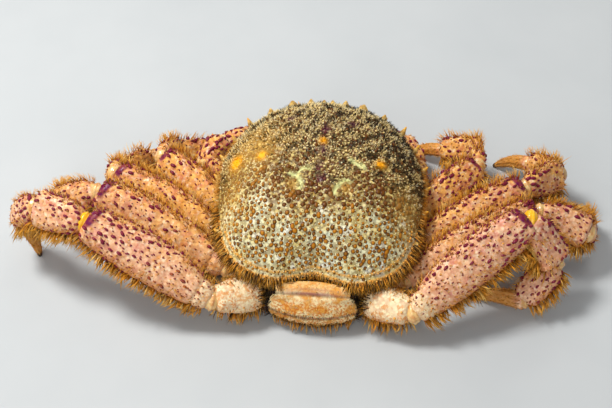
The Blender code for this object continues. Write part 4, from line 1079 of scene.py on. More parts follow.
def back_height(x, y, share):
    """Height of the dome over a spot; share is the spot's way out from the middle to the rim."""
    rearward = np.clip((SHELL_MIDDLE_Y - y) / REAR_REACH, 0.0, 1.0)
    forward = np.clip((y - SHELL_MIDDLE_Y) / REAR_REACH, 0.0, 1.0)
    fall = DOME_FALL + REAR_FALL * rearward ** 2 + FRONT_FALL * forward ** 2
    dome = np.maximum(0.0, 1.0 - share ** 2.5) ** fall
    swell = sum(lift * np.exp(-((np.abs(x) - cx) / wide) ** 2 - ((y - cy) / long) ** 2)
                for cx, cy, wide, long, lift in BACK_SWELLS)
    return RIM_HEIGHT + RIM_SLOPE * y + DOME_HEIGHT * dome + swell * np.minimum(1.0, 4 * (1 - share))


def line_mask(x, y, line, width):
    """1 on a line drawn through a few points and fading to 0 beside it."""
    line = np.asarray(line, float)
    best = np.full(np.shape(x), 1e9)
    for a, b in zip(line[:-1], line[1:]):
        way = b - a
        t = np.clip(((x - a[0]) * way[0] + (y - a[1]) * way[1]) / (way @ way), 0.0, 1.0)
        best = np.minimum(best, np.hypot(x - a[0] - t * way[0], y - a[1] - t * way[1]))
    return np.exp(-(best / width) ** 2)


def patches(x, y, places):
    """Soft patches, each with its middle, its half width and its half length."""
    return sum(bump(x, cx, wide) * bump(y, cy, long) for cx, cy, wide, long in places)


def back_marks(x, y, share, wall):
    """Where the back is grainy, golden, yellow, violet or scarred."""
    spots = np.stack([x, y, np.zeros_like(x)], -1)
    front_line = -4.0 + 5.0 * waves(spots, 38.0, 11) + 3.5 * waves(spots, 12.0, 12)
    front_line = front_line + 15.0 * bump(x, -33.0, 10.0)
    marks = {"front": step(y, front_line - 26.0, front_line + 20.0)}
    tufts = waves(spots, 8.0, 43) + 0.6 * waves(spots, 4.0, 44) + 0.5 * bump(x, 38.0, 12.0)
    marks["clump"] = step(tufts, -0.05, 0.45) * step(marks["front"], 0.3, 0.8)
    marks["gold"] = (patches(x, y, ((-31.0, 12.0, 13.0, 14.0),))
                     + 0.4 * patches(x, y, ((-14.0, 43.0, 10.0, 7.0),))
                     + 0.6 * patches(np.abs(x), y, ((40.0, -14.0, 6.0, 14.0),))
                     + 0.9 * patches(np.abs(x), y, ((12.0, -12.0, 2.6, 3.4),)))
    marks["yellow"] = np.minimum(1.0, 1.3 * patches(x, y, YELLOW_SPOTS))
    marks["violet"] = np.minimum(1.0, patches(x, y, VIOLET_SPOTS))
    marks["scar"] = np.minimum(1.0, sum(line_mask(x, y, bow, 0.95) for bow in SCARS))
    rows = bump(share, 0.987, 0.012) + bump(share, 0.945, 0.009)
    marks["rim"] = rows * step(-y, 18.0, 34.0) * (wall < 0.01)
    return marks


def back_skin():
    """The shell's dome and the walls that fold in under it, as rings from the middle outwards."""
    sides = 240
    angle = angles(sides)
    reach = rim_radius(angle)
    level = np.concatenate([1.0 - (1.0 - np.linspace(0.012, 0.985, 84)) ** 1.45, [0.996, 1.0]])
    x = level[:, None] * reach * np.sin(angle)
    y = SHELL_MIDDLE_Y + level[:, None] * reach * np.cos(angle)
    share = np.repeat(level[:, None], sides, axis=1)
    z = back_height(x, y, share)
    spots = np.stack([x, y, z], -1)
    rough = 0.34 * waves(spots, 9.0, 21) + 0.16 * waves(spots, 3.4, 22)
    marks = back_marks(x, y, share, np.zeros_like(x))
    rough = rough * (1.0 + 0.9 * marks["front"]) + 0.5 * marks["yellow"]
    z = z + rough * np.minimum(1.0, 6 * (1 - share)) - 0.5 * marks["scar"]
    ridge = bump(share, 0.985, 0.012) + 0.6 * bump(share, 0.945, 0.008)
    z = z + 0.45 * ridge * step(-y, 18.0, 34.0)
    dome = np.stack([x, y, z], -1)
    rim = dome[-1]
    ahead = np.roll(rim, -1, axis=0) - np.roll(rim, 1, axis=0)
    inward = unit(np.stack([ahead[:, 1], -ahead[:, 0], np.zeros(sides)], -1))
    inward *= np.where((inward * rim).sum(1, keepdims=True) < 0, 1.0, -1.0)
    walls, drops = [], np.linspace(0.04, 1.0, 16)
    stated = (0.0, 0.25, 0.6, 1.0)
    for drop in drops:
        low = np.where(rim[:, 1] < 0, 0.35 + 0.65 * np.abs(inward[:, 0]), 1.0)
        last = 4.0 + 13.0 * inward[:, 0] ** 2
        depth = [np.interp(drop, stated, (0.0, 1.2 * f, 5.0 * f, g)) for f, g in zip(low, last)]
        spot = rim + inward * np.array(depth)[:, None]
        spot[:, 2] = rim[:, 2] + (SHELL_FLOOR - rim[:, 2]) * drop
        walls.append(spot)
    rings = np.concatenate([dome, np.array(walls)])
    wall = np.concatenate([np.zeros((len(level), sides)), np.repeat(drops[:, None], sides, axis=1)])
    share = np.concatenate([share, np.ones((len(drops), sides))])
    skin = Skin(tip(rings))
    fade = 1.0 - 0.6 * step(wall, 0.3, 0.9)
    marks = back_marks(rings[..., 0], rings[..., 1], share, wall)
    skin.keep(**{name: mask * fade for name, mask in marks.items()})
    skin.flat, skin.share, skin.wall = rings, share, wall
    skin.outwards = np.repeat(-inward[None], len(rings), axis=0)
    flat_map = [0.5 + 0.48 * rings[..., n] / reach * (1 + 0.2 * wall)
                for n, reach in ((0, 50.0), (1, 52.0))]
    spots = np.stack([*flat_map, np.zeros_like(wall)], -1).reshape(-1, 3)
    skin.values["place"] = np.concatenate([spots, np.full((2, 3), 0.5)])
    return skin


def cone(root, along, bend, length, radius, sides=10, rows=7):
    """Curved, tapering tooth with a rounded tip."""
    even = np.linspace(0.0, 0.85, rows)
    t = np.concatenate([even, [0.93, 0.98, 1.0]])
    wide = radius * np.concatenate([(1.0 - even) ** 0.8 + 0.08, [0.2, 0.12, 0.03]])
    along, bend = unit(along), np.asarray(bend, float)
    line = np.asarray(root) + along * (t * length)[:, None] + bend * (t ** 2 * length)[:, None]
    return tube(line, along, wide, sides)


def shell_edge(share):
    """Point on the rim at a share of the half outline, and its outward way."""
    here, after, before = (half_outline(np.array(spot)) for spot in
                           (share, min(share + 0.01, 1.0), max(share - 0.01, 0)))
    ahead = after - before
    outward = unit((-ahead[1], ahead[0]))
    outward = outward if outward @ here > 0 else -outward
    return np.array((here[0], here[1], RIM_HEIGHT + RIM_SLOPE * here[1])), outward


def shell_teeth():
    """Teeth along the rim on both sides, each a cone set with smaller ones."""
    draw = random.Random(SEED + 1)
    made = []
    for side in (1.0, -1.0):
        for k, (share, tall, lean) in enumerate(SHELL_TEETH):
            edge, outward = shell_edge(share)
            along = unit((side * outward[0], outward[1] + 0.35, lean))
            root = np.array((side * edge[0], edge[1], edge[2] + 0.6)) - along * 1.4
            stout, lit, length = (2.7, 0.4, 0.72) if k < FRONT_TEETH else (2.0, 1.0, 1.1)
            stout = 4.2 if k == CORNER_TOOTH else stout
            tooth = cone(tip(root), tip_turn(along), tip_turn((0.0, 0.12, 0.05)),
                         length * tall + 1.4, stout, 14)
            lit = np.linspace(-0.8, lit, tooth.rows).clip(0)
            made.append(tooth.keep(front=0.8, gold=0.9, yellow=lit[:, None]))
            for spine in range(TOOTH_SPINES):
                turn = 2 * math.pi * (spine + draw.random()) / TOOTH_SPINES
                side_way = unit(np.cross(along, (math.cos(turn), math.sin(turn), 0.6)))
                high = draw.uniform(0.15, 0.7)
                foot = root + along * tall * high + side_way * stout * 0.62 * (1.0 - high)
                spike = cone(tip(foot), tip_turn(side_way + along * 0.9), (0, 0, 0),
                             draw.uniform(0.9, 1.6), 0.55, 7, 4)
                made.append(spike.keep(gold=1.0))
    return made


def cut_out(mesh, cutters):
    """Take the room of some closed skins out of a mesh."""
    things = [link("cut", mesh)]
    for cutter in cutters:
        things.append(link("hole", mesh_of("hole", *joined([cutter]))))
        modifier = things[0].modifiers.new("cut", "BOOLEAN")
        modifier.operation, modifier.object, modifier.solver = "DIFFERENCE", things[-1], "EXACT"
    shape = things[0].evaluated_get(bpy.context.evaluated_depsgraph_get())
    carved = bpy.data.meshes.new_from_object(shape)
    for thing in things:
        bpy.data.objects.remove(thing, do_unlink=True)
    return carved


def turned(profile, base, along, sides=20):
    """Body turned from (radius, height) pairs, standing on a point."""
    radius, height = np.array(profile).T
    along = unit(along)
    return tube(base + along * height[:, None], along, np.maximum(radius, 0.02), sides)


def eye_line(side):
    """Middle of an eyeball and the way it looks."""
    return (tip((side * EYE_PLACE[0], *EYE_PLACE[1:])), unit(tip_turn((side * 0.45, 1.0, 0.10))))


def antenna_line(side):
    """Root of a feeler and its way."""
    return (tip((side * ANTENNA_ROOT[0], *ANTENNA_ROOT[1:])),
            unit(tip_turn((side * 0.42, 1.0, -0.05))))


def socket_skins():
    """Closed skins that hollow the eye and feeler sockets out of the front wall."""
    wide = EYE_RADIUS + 0.9
    eye = ((0.0, -EYE_SINK - GAP), (wide * 0.8, -EYE_SINK - GAP), (wide, -1.0), (wide * 1.15, 9.0),
           (0.0, 9.0))
    feeler = ((0.0, -GAP), (2.3, -GAP), (2.3, 9.0), (0.0, 9.0))
    return [turned(profile, *line(side)) for side in (1.0, -1.0)
            for profile, line in ((eye, eye_line), (feeler, antenna_line))]


# Belly flap and breastplate

def flap_path(share):
    """Middle line of the belly flap, from its hinge under the rear margin to its tip."""
    line = catmull(FLAP_LINE, share)
    return np.stack([np.zeros_like(line[..., 0]), line[..., 0], line[..., 1]], -1)


def flap_skin():
    """The belly flap's rings of armour, each with a raised and beaded rear edge."""
    known = [(share, swell, wide) for wide, steps in FLAP_RINGS for share, swell in steps]
    shares, swells, widths = np.array(known).T
    t = np.linspace(0.0, 1.0, 190)
    sides = 72
    near = np.linspace(-0.006, 0.006, 5)
    thick = np.interp(t[:, None] + near, shares, swells).mean(1) * FLAP_THICKNESS / 2
    wide = np.interp(t[:, None] + near, shares, widths).mean(1)
    for seam in FLAP_SEAMS:
        thick = thick - 0.35 * bump(t, seam, 0.006)
        wide = wide - 0.8 * bump(t, seam, 0.007)
    here = flap_path(t)
    along = unit(flap_path(np.minimum(t + 0.01, 1.0)) - flap_path(np.maximum(t - 0.01, 0.0)))
    out = np.cross(along, (1.0, 0.0, 0.0))
    out *= np.where(out[:1, 1:2] < 0, 1.0, -1.0)
    curl = np.interp(t, *np.array(FLAP_CURL).T)[:, None]
    angle = angles(sides, 0.5)
    s = np.sin(angle)
    across = boxy(np.cos(angle), 0.75) * wide[:, None]
    up = boxy(s, 0.6) * thick[:, None]
    edge = (across / wide[:, None]) ** 2
    rings = here[:, None] + np.array((1.0, 0.0, 0.0)) * across[..., None]
    rings[..., 1] += np.maximum(0.0, curl) * edge + np.minimum(0.0, curl) * (edge - 1.0)
    rings = rings + out[:, None] * up[..., None]
    rings = rings + out[:, None] * (0.16 * waves(rings, 5.0, 31) * np.sign(s))[..., None]
    skin = Skin(tip(rings))
    t = np.repeat(t[:, None], sides, axis=1)
    outer = step(s[None], 0.2, 0.7) * np.ones_like(t)
    skin.t, skin.outer, skin.edge = t, outer, np.abs(across) / wide[:, None]
    skin.out = np.repeat(tip_turn(out)[:, None], sides, axis=1)
    skin.way = np.repeat(tip_turn(along)[:, None], sides, axis=1)
    middle = bump(across, 0.0, 14.0)
    stains = (bump(t, 0.066, 0.008) * middle + bump(t, 0.045, 0.006) * 0.5 * middle
              + bump(t, 0.255, 0.012) * 0.6)
    return skin.keep(seam=np.minimum(1.0, sum(bump(t, seam, 0.007) for seam in FLAP_SEAMS)),
                     violet=np.minimum(1.0, stains), first=1.0 - step(t, 0.05, 0.062),
                     lump=outer * (0.45 + 0.45 * step(t, 0.1, 0.16)))


def chest_skin():
    """Breastplate with the furrows between its plates, one pair of plates for each leg pair."""
    half = np.array(CHEST_OUTLINE)
    whole = np.concatenate([half, half[::-1] * np.array((-1.0, 1.0))])
    closed = np.concatenate([whole, whole[:1]])
    steps = np.linalg.norm(np.diff(closed, axis=0), axis=1)
    far = np.concatenate([[0.0], np.cumsum(steps)])
    spots = np.linspace(0.0, far[-1], 240, endpoint=False)
    outline = np.stack([np.interp(spots, far, closed[:, n]) for n in (0, 1)], -1)
    rings = []
    floors = [(share, CHEST_BOTTOM + 0.8 * (1 - share / 0.82))
              for share in np.linspace(0.05, 0.82, 22)]
    for share, height in (*floors, *CHEST_STEPS):
        flat = CHEST_MIDDLE + (outline - CHEST_MIDDLE) * share
        rings.append(np.concatenate([flat, np.full((len(flat), 1), height)], axis=1))
    rings = np.array(rings)
    x, y, z = rings[..., 0], rings[..., 1], rings[..., 2]
    furrow = sum(bump(y + 0.20 * np.abs(x), middle, 0.9) for middle in CHEST_FURROWS)
    furrow = np.minimum(1.0, furrow) * (z < CHEST_TOP - 0.5) * step(np.abs(x), 5.0, 9.0)
    middle_line = bump(x, 0.0, 0.8) * (z < 5.0)
    low = (z < 4.0)
    rings[..., 2] += np.where(low, 0.9 * furrow + 0.6 * middle_line, 0.0)
    rings[..., 0] -= np.where(low, 0.0, 0.9) * furrow * np.sign(x)
    return Skin(tip(rings)).keep(seam=np.maximum(furrow, middle_line), lump=0.45 * (z < 9))


# Legs and claws, where the claws have the number 0

# How golden each is, the share of a joint that its skin covers, and the plates of the finger tips
LEG_GOLD = (0.6, 0.85, 0.65, 0.35, 0.1)
JOINT_SPANS = {"coxa": (0.02, 0.97), "merus": (0.0, 1.0), "carpus": (-0.02, 1.0),
               "propodus": (-0.02, 1.0), "dactyl": (-0.03, 1.0), "palm": (-0.02, 1.0),
               "fixed": (0.0, 1.0), "finger": (0.0, 1.0)}
CLAW_TIPS = {"fixed": ("fixed_tip", "horn", "claw_tip"), "finger": ("moving_tip", "horn", "claw_tip")}


def leg_marks(skin, side_name, number):
    """Colour masks of one joint."""
    t, joint, facing = skin.along, skin.limb.joint, np.cos(skin.around)
    upper, lower = bump(facing, 1.0, 0.35), bump(facing, -1.0, 0.3)
    rim = step(t, 0.90, 0.97) * (joint in ("merus", "carpus"))
    far = step(t, 0.25, 0.95) if joint == "merus" else 0.6 + 0.4 * np.cos(math.pi * t)
    foot = 0.7 * (1.0 - step(t, 0.10, 0.16)) * (joint == "merus" and number == 4)
    smooth = bump(np.cos(skin.around - 0.4), 1.0, 0.9)
    skin.keep(warm=LEG_GOLD[number] + (0.2 if side_name == "left" else 0) + 0.25 * upper,
              purple=rim * step(facing, -0.5, 0.4) * 1.2 + 0.36 * upper * step(t, 0.2, 0.5),
              under=lower, front=np.clip(0.85 * far + 0.45 * upper - 0.3 * lower, 0.0, 1.0),
              cream=foot + (joint == "coxa") * (0.95 if number == 4 else 0.5),
              lump=0.7 * foot + (joint == "coxa") * np.clip(1.0 - smooth, 0.0, 1.0),
              claw=(joint == "dactyl") * step(t, 0.0, 0.2),
              horn=(joint == "dactyl") * step(t, 0.86, 0.94))


def joint_relief(joint, seed):
    """Uneven surface of a joint, with the groove that marks off the foot of a merus."""
    def relief(along, around, rings):
        rough = 0.22 * waves(rings, 6.0, seed) + 0.12 * waves(rings, 2.6, seed + 1)
        ridge = 0.25 * np.cos(3 * around) * step(along, 0.1, 0.3)
        groove = 0.9 * bump(along, 0.115, 0.012) if joint == "merus" else 0.0
        if joint == "dactyl":
            ridge, rough = 0.22 * np.cos(8 * around), 0.3 * rough
        if joint in ("carpus", "propodus"):
            groove = 0.4 * bump(np.cos(around - 1.57), 1.0, 0.05) * step(along, 0.1, 0.2)
        return rough + ridge - groove
    return relief


def leg_skins(side_name, number):
    """Marked skins of one leg's joints by name, and the points where they meet."""
    limbs, knots = claw_limbs(side_name) if number == 0 else leg_limbs(side_name, number)
    skins = {}
    for k, (joint, limb) in enumerate(limbs.items()):
        low, high = JOINT_SPANS[joint]
        rows = max(12, int(limb.length / 0.8))
        slim = joint == "dactyl" or joint in CLAW_TIPS
        cell = (0.02 + 0.14 * k, 0.02, 0.12, 0.96)
        relief = joint_relief(joint, 100 + 17 * number + 5 * k + (side_name == "left"))
        skins[joint] = limb.skin(low, high, rows, 32 if slim else 44, cell, relief,
                                 1.2 if slim else 2.6, 0.0 if slim or joint == "coxa" else 0.5)
        leg_marks(skins[joint], side_name, number)
    return skins, limbs, knots


def joint_ball(before, after, knot, hind):
    """Folded skin that bulges between two joints."""
    wide, size = (min(a[0], b[0]) for a, b in zip(before.half_sizes(np.array([1.0])),
                                                  after.half_sizes(np.array([0.0]))))
    axis = unit(before.axis + after.axis)
    side = unit(before.wide - axis * (before.wide @ axis))
    other = np.cross(axis, side)
    turn = np.linspace(0.12, math.pi - 0.12, 22)
    angle = angles(28)
    swell = 1.04 + 0.05 * np.sin(9 * turn)[:, None, None]
    ring = (side * (np.cos(angle) * wide * 0.88)[:, None]
            + other * (np.sin(angle) * size * 0.88)[:, None])
    rings = knot + axis * (-np.cos(turn) * size * 0.8)[:, None, None] + ring[None] * np.sin(
        turn)[:, None, None] * swell
    return Skin(rings).keep(bright=hind and after.joint == "carpus")


# Head

def eye_skin(side):
    """Short stalk and the cornea that caps it."""
    ball, look = eye_line(side)
    profile = [(0.0, -EYE_SINK), (EYE_STALK * 0.96, -EYE_SINK + 0.05), (EYE_STALK, -4.0),
               (EYE_STALK * 0.94, -3.0), (EYE_STALK * 1.02, -2.5)]
    for k in range(5, 21):
        turn = math.pi * k / 20
        profile.append((EYE_RADIUS * math.sin(turn), -EYE_RADIUS * math.cos(turn)))
    height = np.array([h for _, h in profile])
    return turned(profile, ball, look, 28).keep(stalk=1.0 - step(height, -1.6, -1.1)[:, None])


def feeler_skin(side):
    """Long feeler: three stout joints at the foot and a whip of small rings."""
    root, along = antenna_line(side)
    t = np.concatenate([np.linspace(0.0, 0.46, 60), np.linspace(0.465, 1.0, 120)])
    radius = np.interp(t, *np.array(ANTENNA_PROFILE).T)
    radius = radius * (1.0 - 0.14 * step(t, 0.45, 0.5) * (0.5 + 0.5 * np.cos(t * 260.0)))
    radius[0], radius[-1] = 0.3, 0.05
    line = root + along * (t * ANTENNA_LENGTH)[:, None]
    line = line + np.array((0.0, 0.0, 1.0)) * (0.5 * 4 * t * (1 - t))[:, None]
    return tube(line, along, radius, 16, (0.0, 0.0, 1.0)).keep(warm=0.6)


def small_feelers():
    """Folded short feelers between the eyes."""
    made = []
    for side in (1.0, -1.0):
        foot = np.array((side * 3.4, 45.2, 20.6))
        bends = [foot, foot + (side * 1.2, 2.4, 0.4), foot + (side * 3.0, 3.0, 1.6),
                 foot + (side * 1.6, 3.2, 2.6), foot + (side * 0.2, 3.4, 3.0)]
        t = np.linspace(0.0, 1.0, 40)
        line = tip(catmull(bends, t))
        radius = np.interp(t, (0.0, 0.03, 0.45, 0.5, 0.75, 1.0), (0.1, 0.75, 0.6, 0.4, 0.35, 0.05))
        ahead = unit(np.gradient(line, axis=0))
        made.append(tube(line, ahead, radius, 12, (0.0, 0.3, 1.0)).keep(warm=0.8))
    return made


def jaw_skin(side):
    """Outer jaw: long inner plate with a groove where its two joints meet."""
    middle = side * (JAW_HALF_WIDTH / 2 + GAP / 2)
    heights = np.linspace(JAW_BOTTOM, JAW_TOP, 60)
    half = np.interp(heights, *np.array(JAW_WIDTHS).T) * JAW_HALF_WIDTH / 2
    half = half - 0.5 * bump(heights, JAW_BEND, 0.4)
    deep = JAW_THICKNESS / 2 * (1.0 - 0.3 * bump(heights, JAW_BEND, 0.4))
    deep = deep * np.minimum(1.0, 0.4 + np.minimum(heights - JAW_BOTTOM, JAW_TOP - heights))
    angle = angles(40, 0.5)
    across = boxy(np.cos(angle), 0.7) * half[:, None]
    out = boxy(np.sin(angle), 0.7) * deep[:, None]
    furrow = 0.5 * bump(across / half[:, None], -0.25 * side, 0.12) * (out > 0)
    slope = (heights - JAW_BOTTOM)[:, None] * 0.12
    forward = 33.0 + GAP + JAW_THICKNESS / 2 + slope + out - furrow
    rings = np.stack([middle + across, forward, np.repeat(heights[:, None], 40, axis=1)], -1)
    skin = Skin(tip(rings))
    skin.out = np.repeat(tip_turn(np.array((0.0, 1.0, 0.0)))[None, None], 60, 0).repeat(40, 1)
    skin.inner = bump(across / half[:, None], -side, 0.5)
    return skin.keep(lump=0.5)


def mouth_frame():
    """Epistome over the jaws and the slim jaw palps at their sides."""
    made = []
    for middle, half, deep, low, high, forward in MOUTH_FRAME:
        t = np.linspace(0.0, 1.0, 24)
        size = np.sqrt(np.clip(1.0 - (2 * t - 1) ** 4, 0.01, 1.0))
        angle = angles(24, 0.5)
        x = middle + half * size[:, None] * boxy(np.cos(angle), 0.7)
        y = forward + deep * size[:, None] * boxy(np.sin(angle), 0.7)
        z = np.repeat((low + (high - low) * t)[:, None], 24, axis=1)
        made.append(Skin(tip(np.stack([x, y + 0.5 * np.cos(x), z], -1))))
    return made


# Building the pieces

class Kit:
    """Materials, growth tree and small pieces shared by all parts of the crab."""

    def __init__(self, scene):
        self.sizes, colours = scene.crab_sizes, scene.crab_colours
        draw = random.Random(SEED)
        self.tree = growth_tree()
        self.pieces = {}
        for name, (sides, count, stretch, more, profile) in GRAINS.items():
            self.pieces[name] = bundle(name, [grain(draw, sides, profile, stretch + more * k)
                                              for k in range(count)])
        for name, (count, *form) in TUFTS.items():
            self.pieces[name] = bundle(name, [tuft(draw, *form) for _ in range(count)])
        self.paints = {
            "shell": shell_paint(colours), "limb": limb_paint(colours), "belly": belly_paint(),
            "skin": skin_paint(), "horn": horn_paint(), "eye": eye_paint(),
            # Tubercles and spinules: base, dark (also the painted shade at the root), painted
            # highlight on top, then their own darker colour where front is high
            "tubercle": grain_paint("tubercle", tuple(colours.tubercle), rgb(50, 26, 4),
                                    rgb(218, 148, 24), rgb(84, 40, 4)),
            "spinule": grain_paint("spinule", rgb(150, 66, 18), rgb(84, 30, 14),
                                   rgb(206, 124, 60), tuple(colours.spinule)),
            "gold_bristles": bristle_paint("gold_bristles", rgb(172, 100, 18),
                                           tuple(colours.bristle), rgb(252, 214, 124)),
        }
        for make, table in ((grain_paint, GRAIN_COLOURS), (bristle_paint, BRISTLE_COLOURS)):
            for name, shown in table.items():
                self.paints[name] = make(name, *(rgb(*colour) for colour in shown))


def build_shell(kit):
    """Back shell with its teeth, grains, short bristles and side fringes."""
    skin = back_skin()
    mesh = cut_out(mesh_of("shell_back", *joined([skin])), socket_skins())
    whole = bmesh.new()
    whole.from_mesh(mesh)
    whole.from_mesh(mesh_of("teeth", *joined(shell_teeth())))
    whole.to_mesh(mesh)
    whole.free()
    finish("shell_back", mesh, kit.paints["shell"], "shell", ["carapace"])

    bed = Bed(kit, [skin], "shell")
    x, y, _ = bed.flat("flat").T
    share, wall, outward = bed.flat("share"), bed.flat("wall"), bed.flat("outwards")
    front, clumps = bed.values["front"], bed.values["clump"]
    back_way = tip_turn(REARWARD)
    front_way = unit(outward * 0.7 + np.array((0.0, 0.6, 0.35)))
    down = unit(outward * 0.9 + np.array((0.0, -0.35, -0.6)))
    scarless = (share < 0.975) * (wall < 0.01) * (1.0 - bed.values["scar"])
    bare = scarless * (1.0 - 0.8 * bed.values["yellow"])
    lines = 1.0 - 0.7 * bump(share, 0.945, 0.012) * (y < -26.0)
    swell = (0.71 + 0.22 * bump(front, 0.35, 0.25) - 0.08 * front
             - 0.22 * step(share, 0.86, 0.95) * (y < 0.0) + 0.10 * waves(bed.points, 11.0, 41))
    bed.grow("shell_tubercles", scarless * (share < 0.968) * lines, back_way, swell,
             kit.sizes.tubercle_step)
    bed.grow("shell_fine_grains", scarless * (1.0 - 0.9 * step(front, 0.0, 0.6)), back_way, 0.32)
    bed.grow("shell_specks", bare * (0.45 + 0.5 * step(front, 0.05, 0.4)), back_way,
             0.32 + 0.14 * front)
    top = (share < 0.975) * (wall < 0.01)
    bed.grow("shell_granules", top * step(front, 0.42, 0.9) * (1.0 - 0.6 * clumps), front_way, 0.50,
             kit.sizes.granule_step)
    edge = (bump(share, 0.987, 0.010) + bump(share, 0.945, 0.006)) * (wall < 0.01)
    bed.grow("shell_rim_beads", edge * step(-y, 14.0, 26.0) > 0.4, back_way, 0.55)
    bed.grow("shell_front_setae", bare * step(front, 0.3, 0.9) * (0.16 + 0.84 * clumps), front_way,
             1.3 + 0.9 * front)
    bed.grow("shell_straw_setae", bare * step(front, 0.3, 0.8) * (0.85 - 0.75 * clumps), front_way,
             1.3 + 0.6 * front)
    bed.grow("shell_rear_setae", bare * (1 - step(front, 0.4, 0.7)) * 0.6, back_way, 1.0)

    side = step(share, 0.97, 0.99) * (wall < 0.45)
    corner, outer = step(-y, 8.0, 26.0), np.abs(x) > 15.0
    length = kit.sizes.bristle_length
    bed.grow("shell_side_fringe", side * (y < 28.0) * outer * (1.0 - 0.6 * corner), down,
             length * (0.62 + 0.2 * corner), kit.sizes.bristle_step)
    combed = side * (wall < 0.3) * corner * outer
    bed.grow("shell_comb", combed, down, 1.05 * length)
    bed.grow("shell_golden_comb", combed, down, 0.95 * length)
    arch = side * (y < -40.0) * (np.abs(x) < 19.0)
    arch_way = unit((0.0, -0.6, -0.8))
    bed.grow("shell_rear_fringe", arch, arch_way, 3.2)
    bed.grow("shell_rear_roots", arch, arch_way, 2.4)
    bed.grow("shell_wall_setae", (wall > 0.1) * (wall < 0.95), down, 2.4)


def build_belly(kit):
    """Belly flap and breastplate with their bristles."""
    flap = flap_skin()
    plate("belly_flap", [flap], kit.paints["belly"], "belly", ["abdomen"])
    bed = Bed(kit, [flap], "belly")
    t, outer, way = bed.flat("t"), bed.flat("outer"), bed.flat("way")
    bed.grow("flap_grains", outer * step(t, 0.1, 0.2) * 0.8, way, 0.45)
    rows = sum(bump(t, at, 0.007) for at in FLAP_HAIR_ROWS) * outer
    bed.grow("flap_fringe", rows > 0.3, way, 3.2)
    aside = unit(way * 0.4 + np.array((1.0, 0.0, 0.0)) * np.sign(bed.points[:, :1]))
    bed.grow("flap_side_hair", step(bed.flat("edge"), 0.93, 0.98) * (t < 0.42), aside, 3.8)
    bed.grow("flap_long_fringe", bump(t, 0.335, 0.012) * outer > 0.3, unit(way + 0.5 * REARWARD),
             6.5)
    bed.grow("flap_low_hair", outer * step(t, 0.29, 0.32) * (t < 0.45), unit(way + 0.4 * REARWARD),
             2.0)
    bed.grow("flap_setae", outer * 0.8, way, 1.2)

    chest = chest_skin()
    plate("breastplate", [chest], kit.paints["belly"], "belly", ["thorax"])
    bed = Bed(kit, [chest], "belly")
    _, y, z = bed.points.T
    bed.grow("breastplate_bristles", step(-y, 43.0, 45.0) * (z > 3.0), unit((0.0, -1.0, -0.35)), 5.0)
    ahead, forward = step(y, 12.0, 20.0) * (z > 2.0), unit((0.0, 0.6, -0.8))
    bed.grow("breastplate_setae", ahead * 0.9, forward, 1.8)
    bed.grow("breastplate_grains", ahead * 0.8, forward, 0.5)


def build_limb(kit, side_name, number):
    """One leg or claw: its joints, joint skins, grains, short bristles and lower fringe."""
    skins, limbs, knots = leg_skins(side_name, number)
    label = "_%s_%d" % (side_name, number)
    node = "leg%s_" % label if number else "claw_%s_" % side_name
    for joint, skin in skins.items():
        name, paint, slot = CLAW_TIPS.get(joint, (joint, "limb", "leg"))
        plate(name + label, [skin], kit.paints[paint], slot,
              [node + joint] if joint != "fixed" else [])
    order = list(limbs.values())[:5 if number else 4]
    balls = [joint_ball(a, b, knots[k + 1], number == 4)
             for k, (a, b) in enumerate(zip(order, order[1:]))]
    plate("joint_skin" + label, balls, kit.paints["skin"], "membrane")

    bed = Bed(kit, [skin for joint, skin in skins.items() if joint not in CLAW_TIPS], "leg", label,
              number)
    t, out, turn = bed.flat("along"), bed.flat("out"), bed.flat("around")
    axis = bed.of_joints(lambda limb: limb.axis)
    thin = bed.of_joints(lambda limb: limb.joint != "dactyl")
    coxa = bed.of_joints(lambda limb: limb.joint == "coxa")
    body = (t > 0.03) * (t < 0.985)
    rough = body * thin * (1 - coxa)
    front = bed.values["front"]
    crowd = np.clip(0.45 + 0.5 * front + 0.35 * waves(bed.points, 12.0, 62), 0.1, 1.0)
    crowd = crowd * (0.45 if side_name == "left" and number in (1, 2, 3) else 1.0)
    bed.grow("spinules", crowd * rough, axis,
             0.56 + 0.30 * front + 0.10 * waves(bed.points, 7.0, 63), kit.sizes.spinule_step)
    bed.grow("fine_spinules", rough * 0.7, axis, 0.38)
    lumpy = 0.0 if number == 4 else 0.8 * coxa * bed.values["lump"]
    bed.grow("lumps", body * thin * (0.2 + lumpy), axis, 0.40 + 0.24 * coxa)
    ridge = bump(np.cos(turn - 0.1), 1.0, 0.05) * rough * (t > 0.12)
    bed.grow("ridge_spines", ridge > 0.4, axis, 0.95)
    bed.grow("setae", body * (0.5 + 0.3 * thin) * (1.0 - 0.75 * coxa), unit(axis + 0.3 * out), 1.5)

    lower = bump(np.cos(turn), -1.0, 0.09) * body * thin
    down = unit(out * 0.8 + np.array((0.0, -0.35, -0.2)) + 0.25 * axis)
    length = kit.sizes.bristle_length * (1.15 + 0.2 * waves(bed.points, 9.0, 61))
    bed.grow("fringe", lower * (1.0 - 0.6 * coxa), down, length, 0.85 * kit.sizes.bristle_step)
    bed.grow("dark_fringe", lower, down, 0.85 * length)
    bed.grow("side_fringe", bump(np.cos(turn), -0.6, 0.3) * body * thin * 0.8,
             unit(down + 0.5 * axis), 3.4)
    if number:
        bed.grow("upper_fringe", bump(np.cos(turn), 0.93, 0.1) * body * thin, unit(out + 0.5 * axis),
                 3.8 if number == 4 else 5.6)
        bed.grow("tip_hair", (1.0 - thin) * body * (t < 0.85), axis, 2.6)
    if number == 4:
        inner = coxa * (1.0 - step(t, 0.14, 0.3)) * step(np.cos(turn), -0.8, -0.4)
        inward = unit(0.8 * out - axis)
        bed.grow("coxa_dark_hair", inner, inward, 4.0)
        bed.grow("coxa_hair", inner, inward, 3.4)


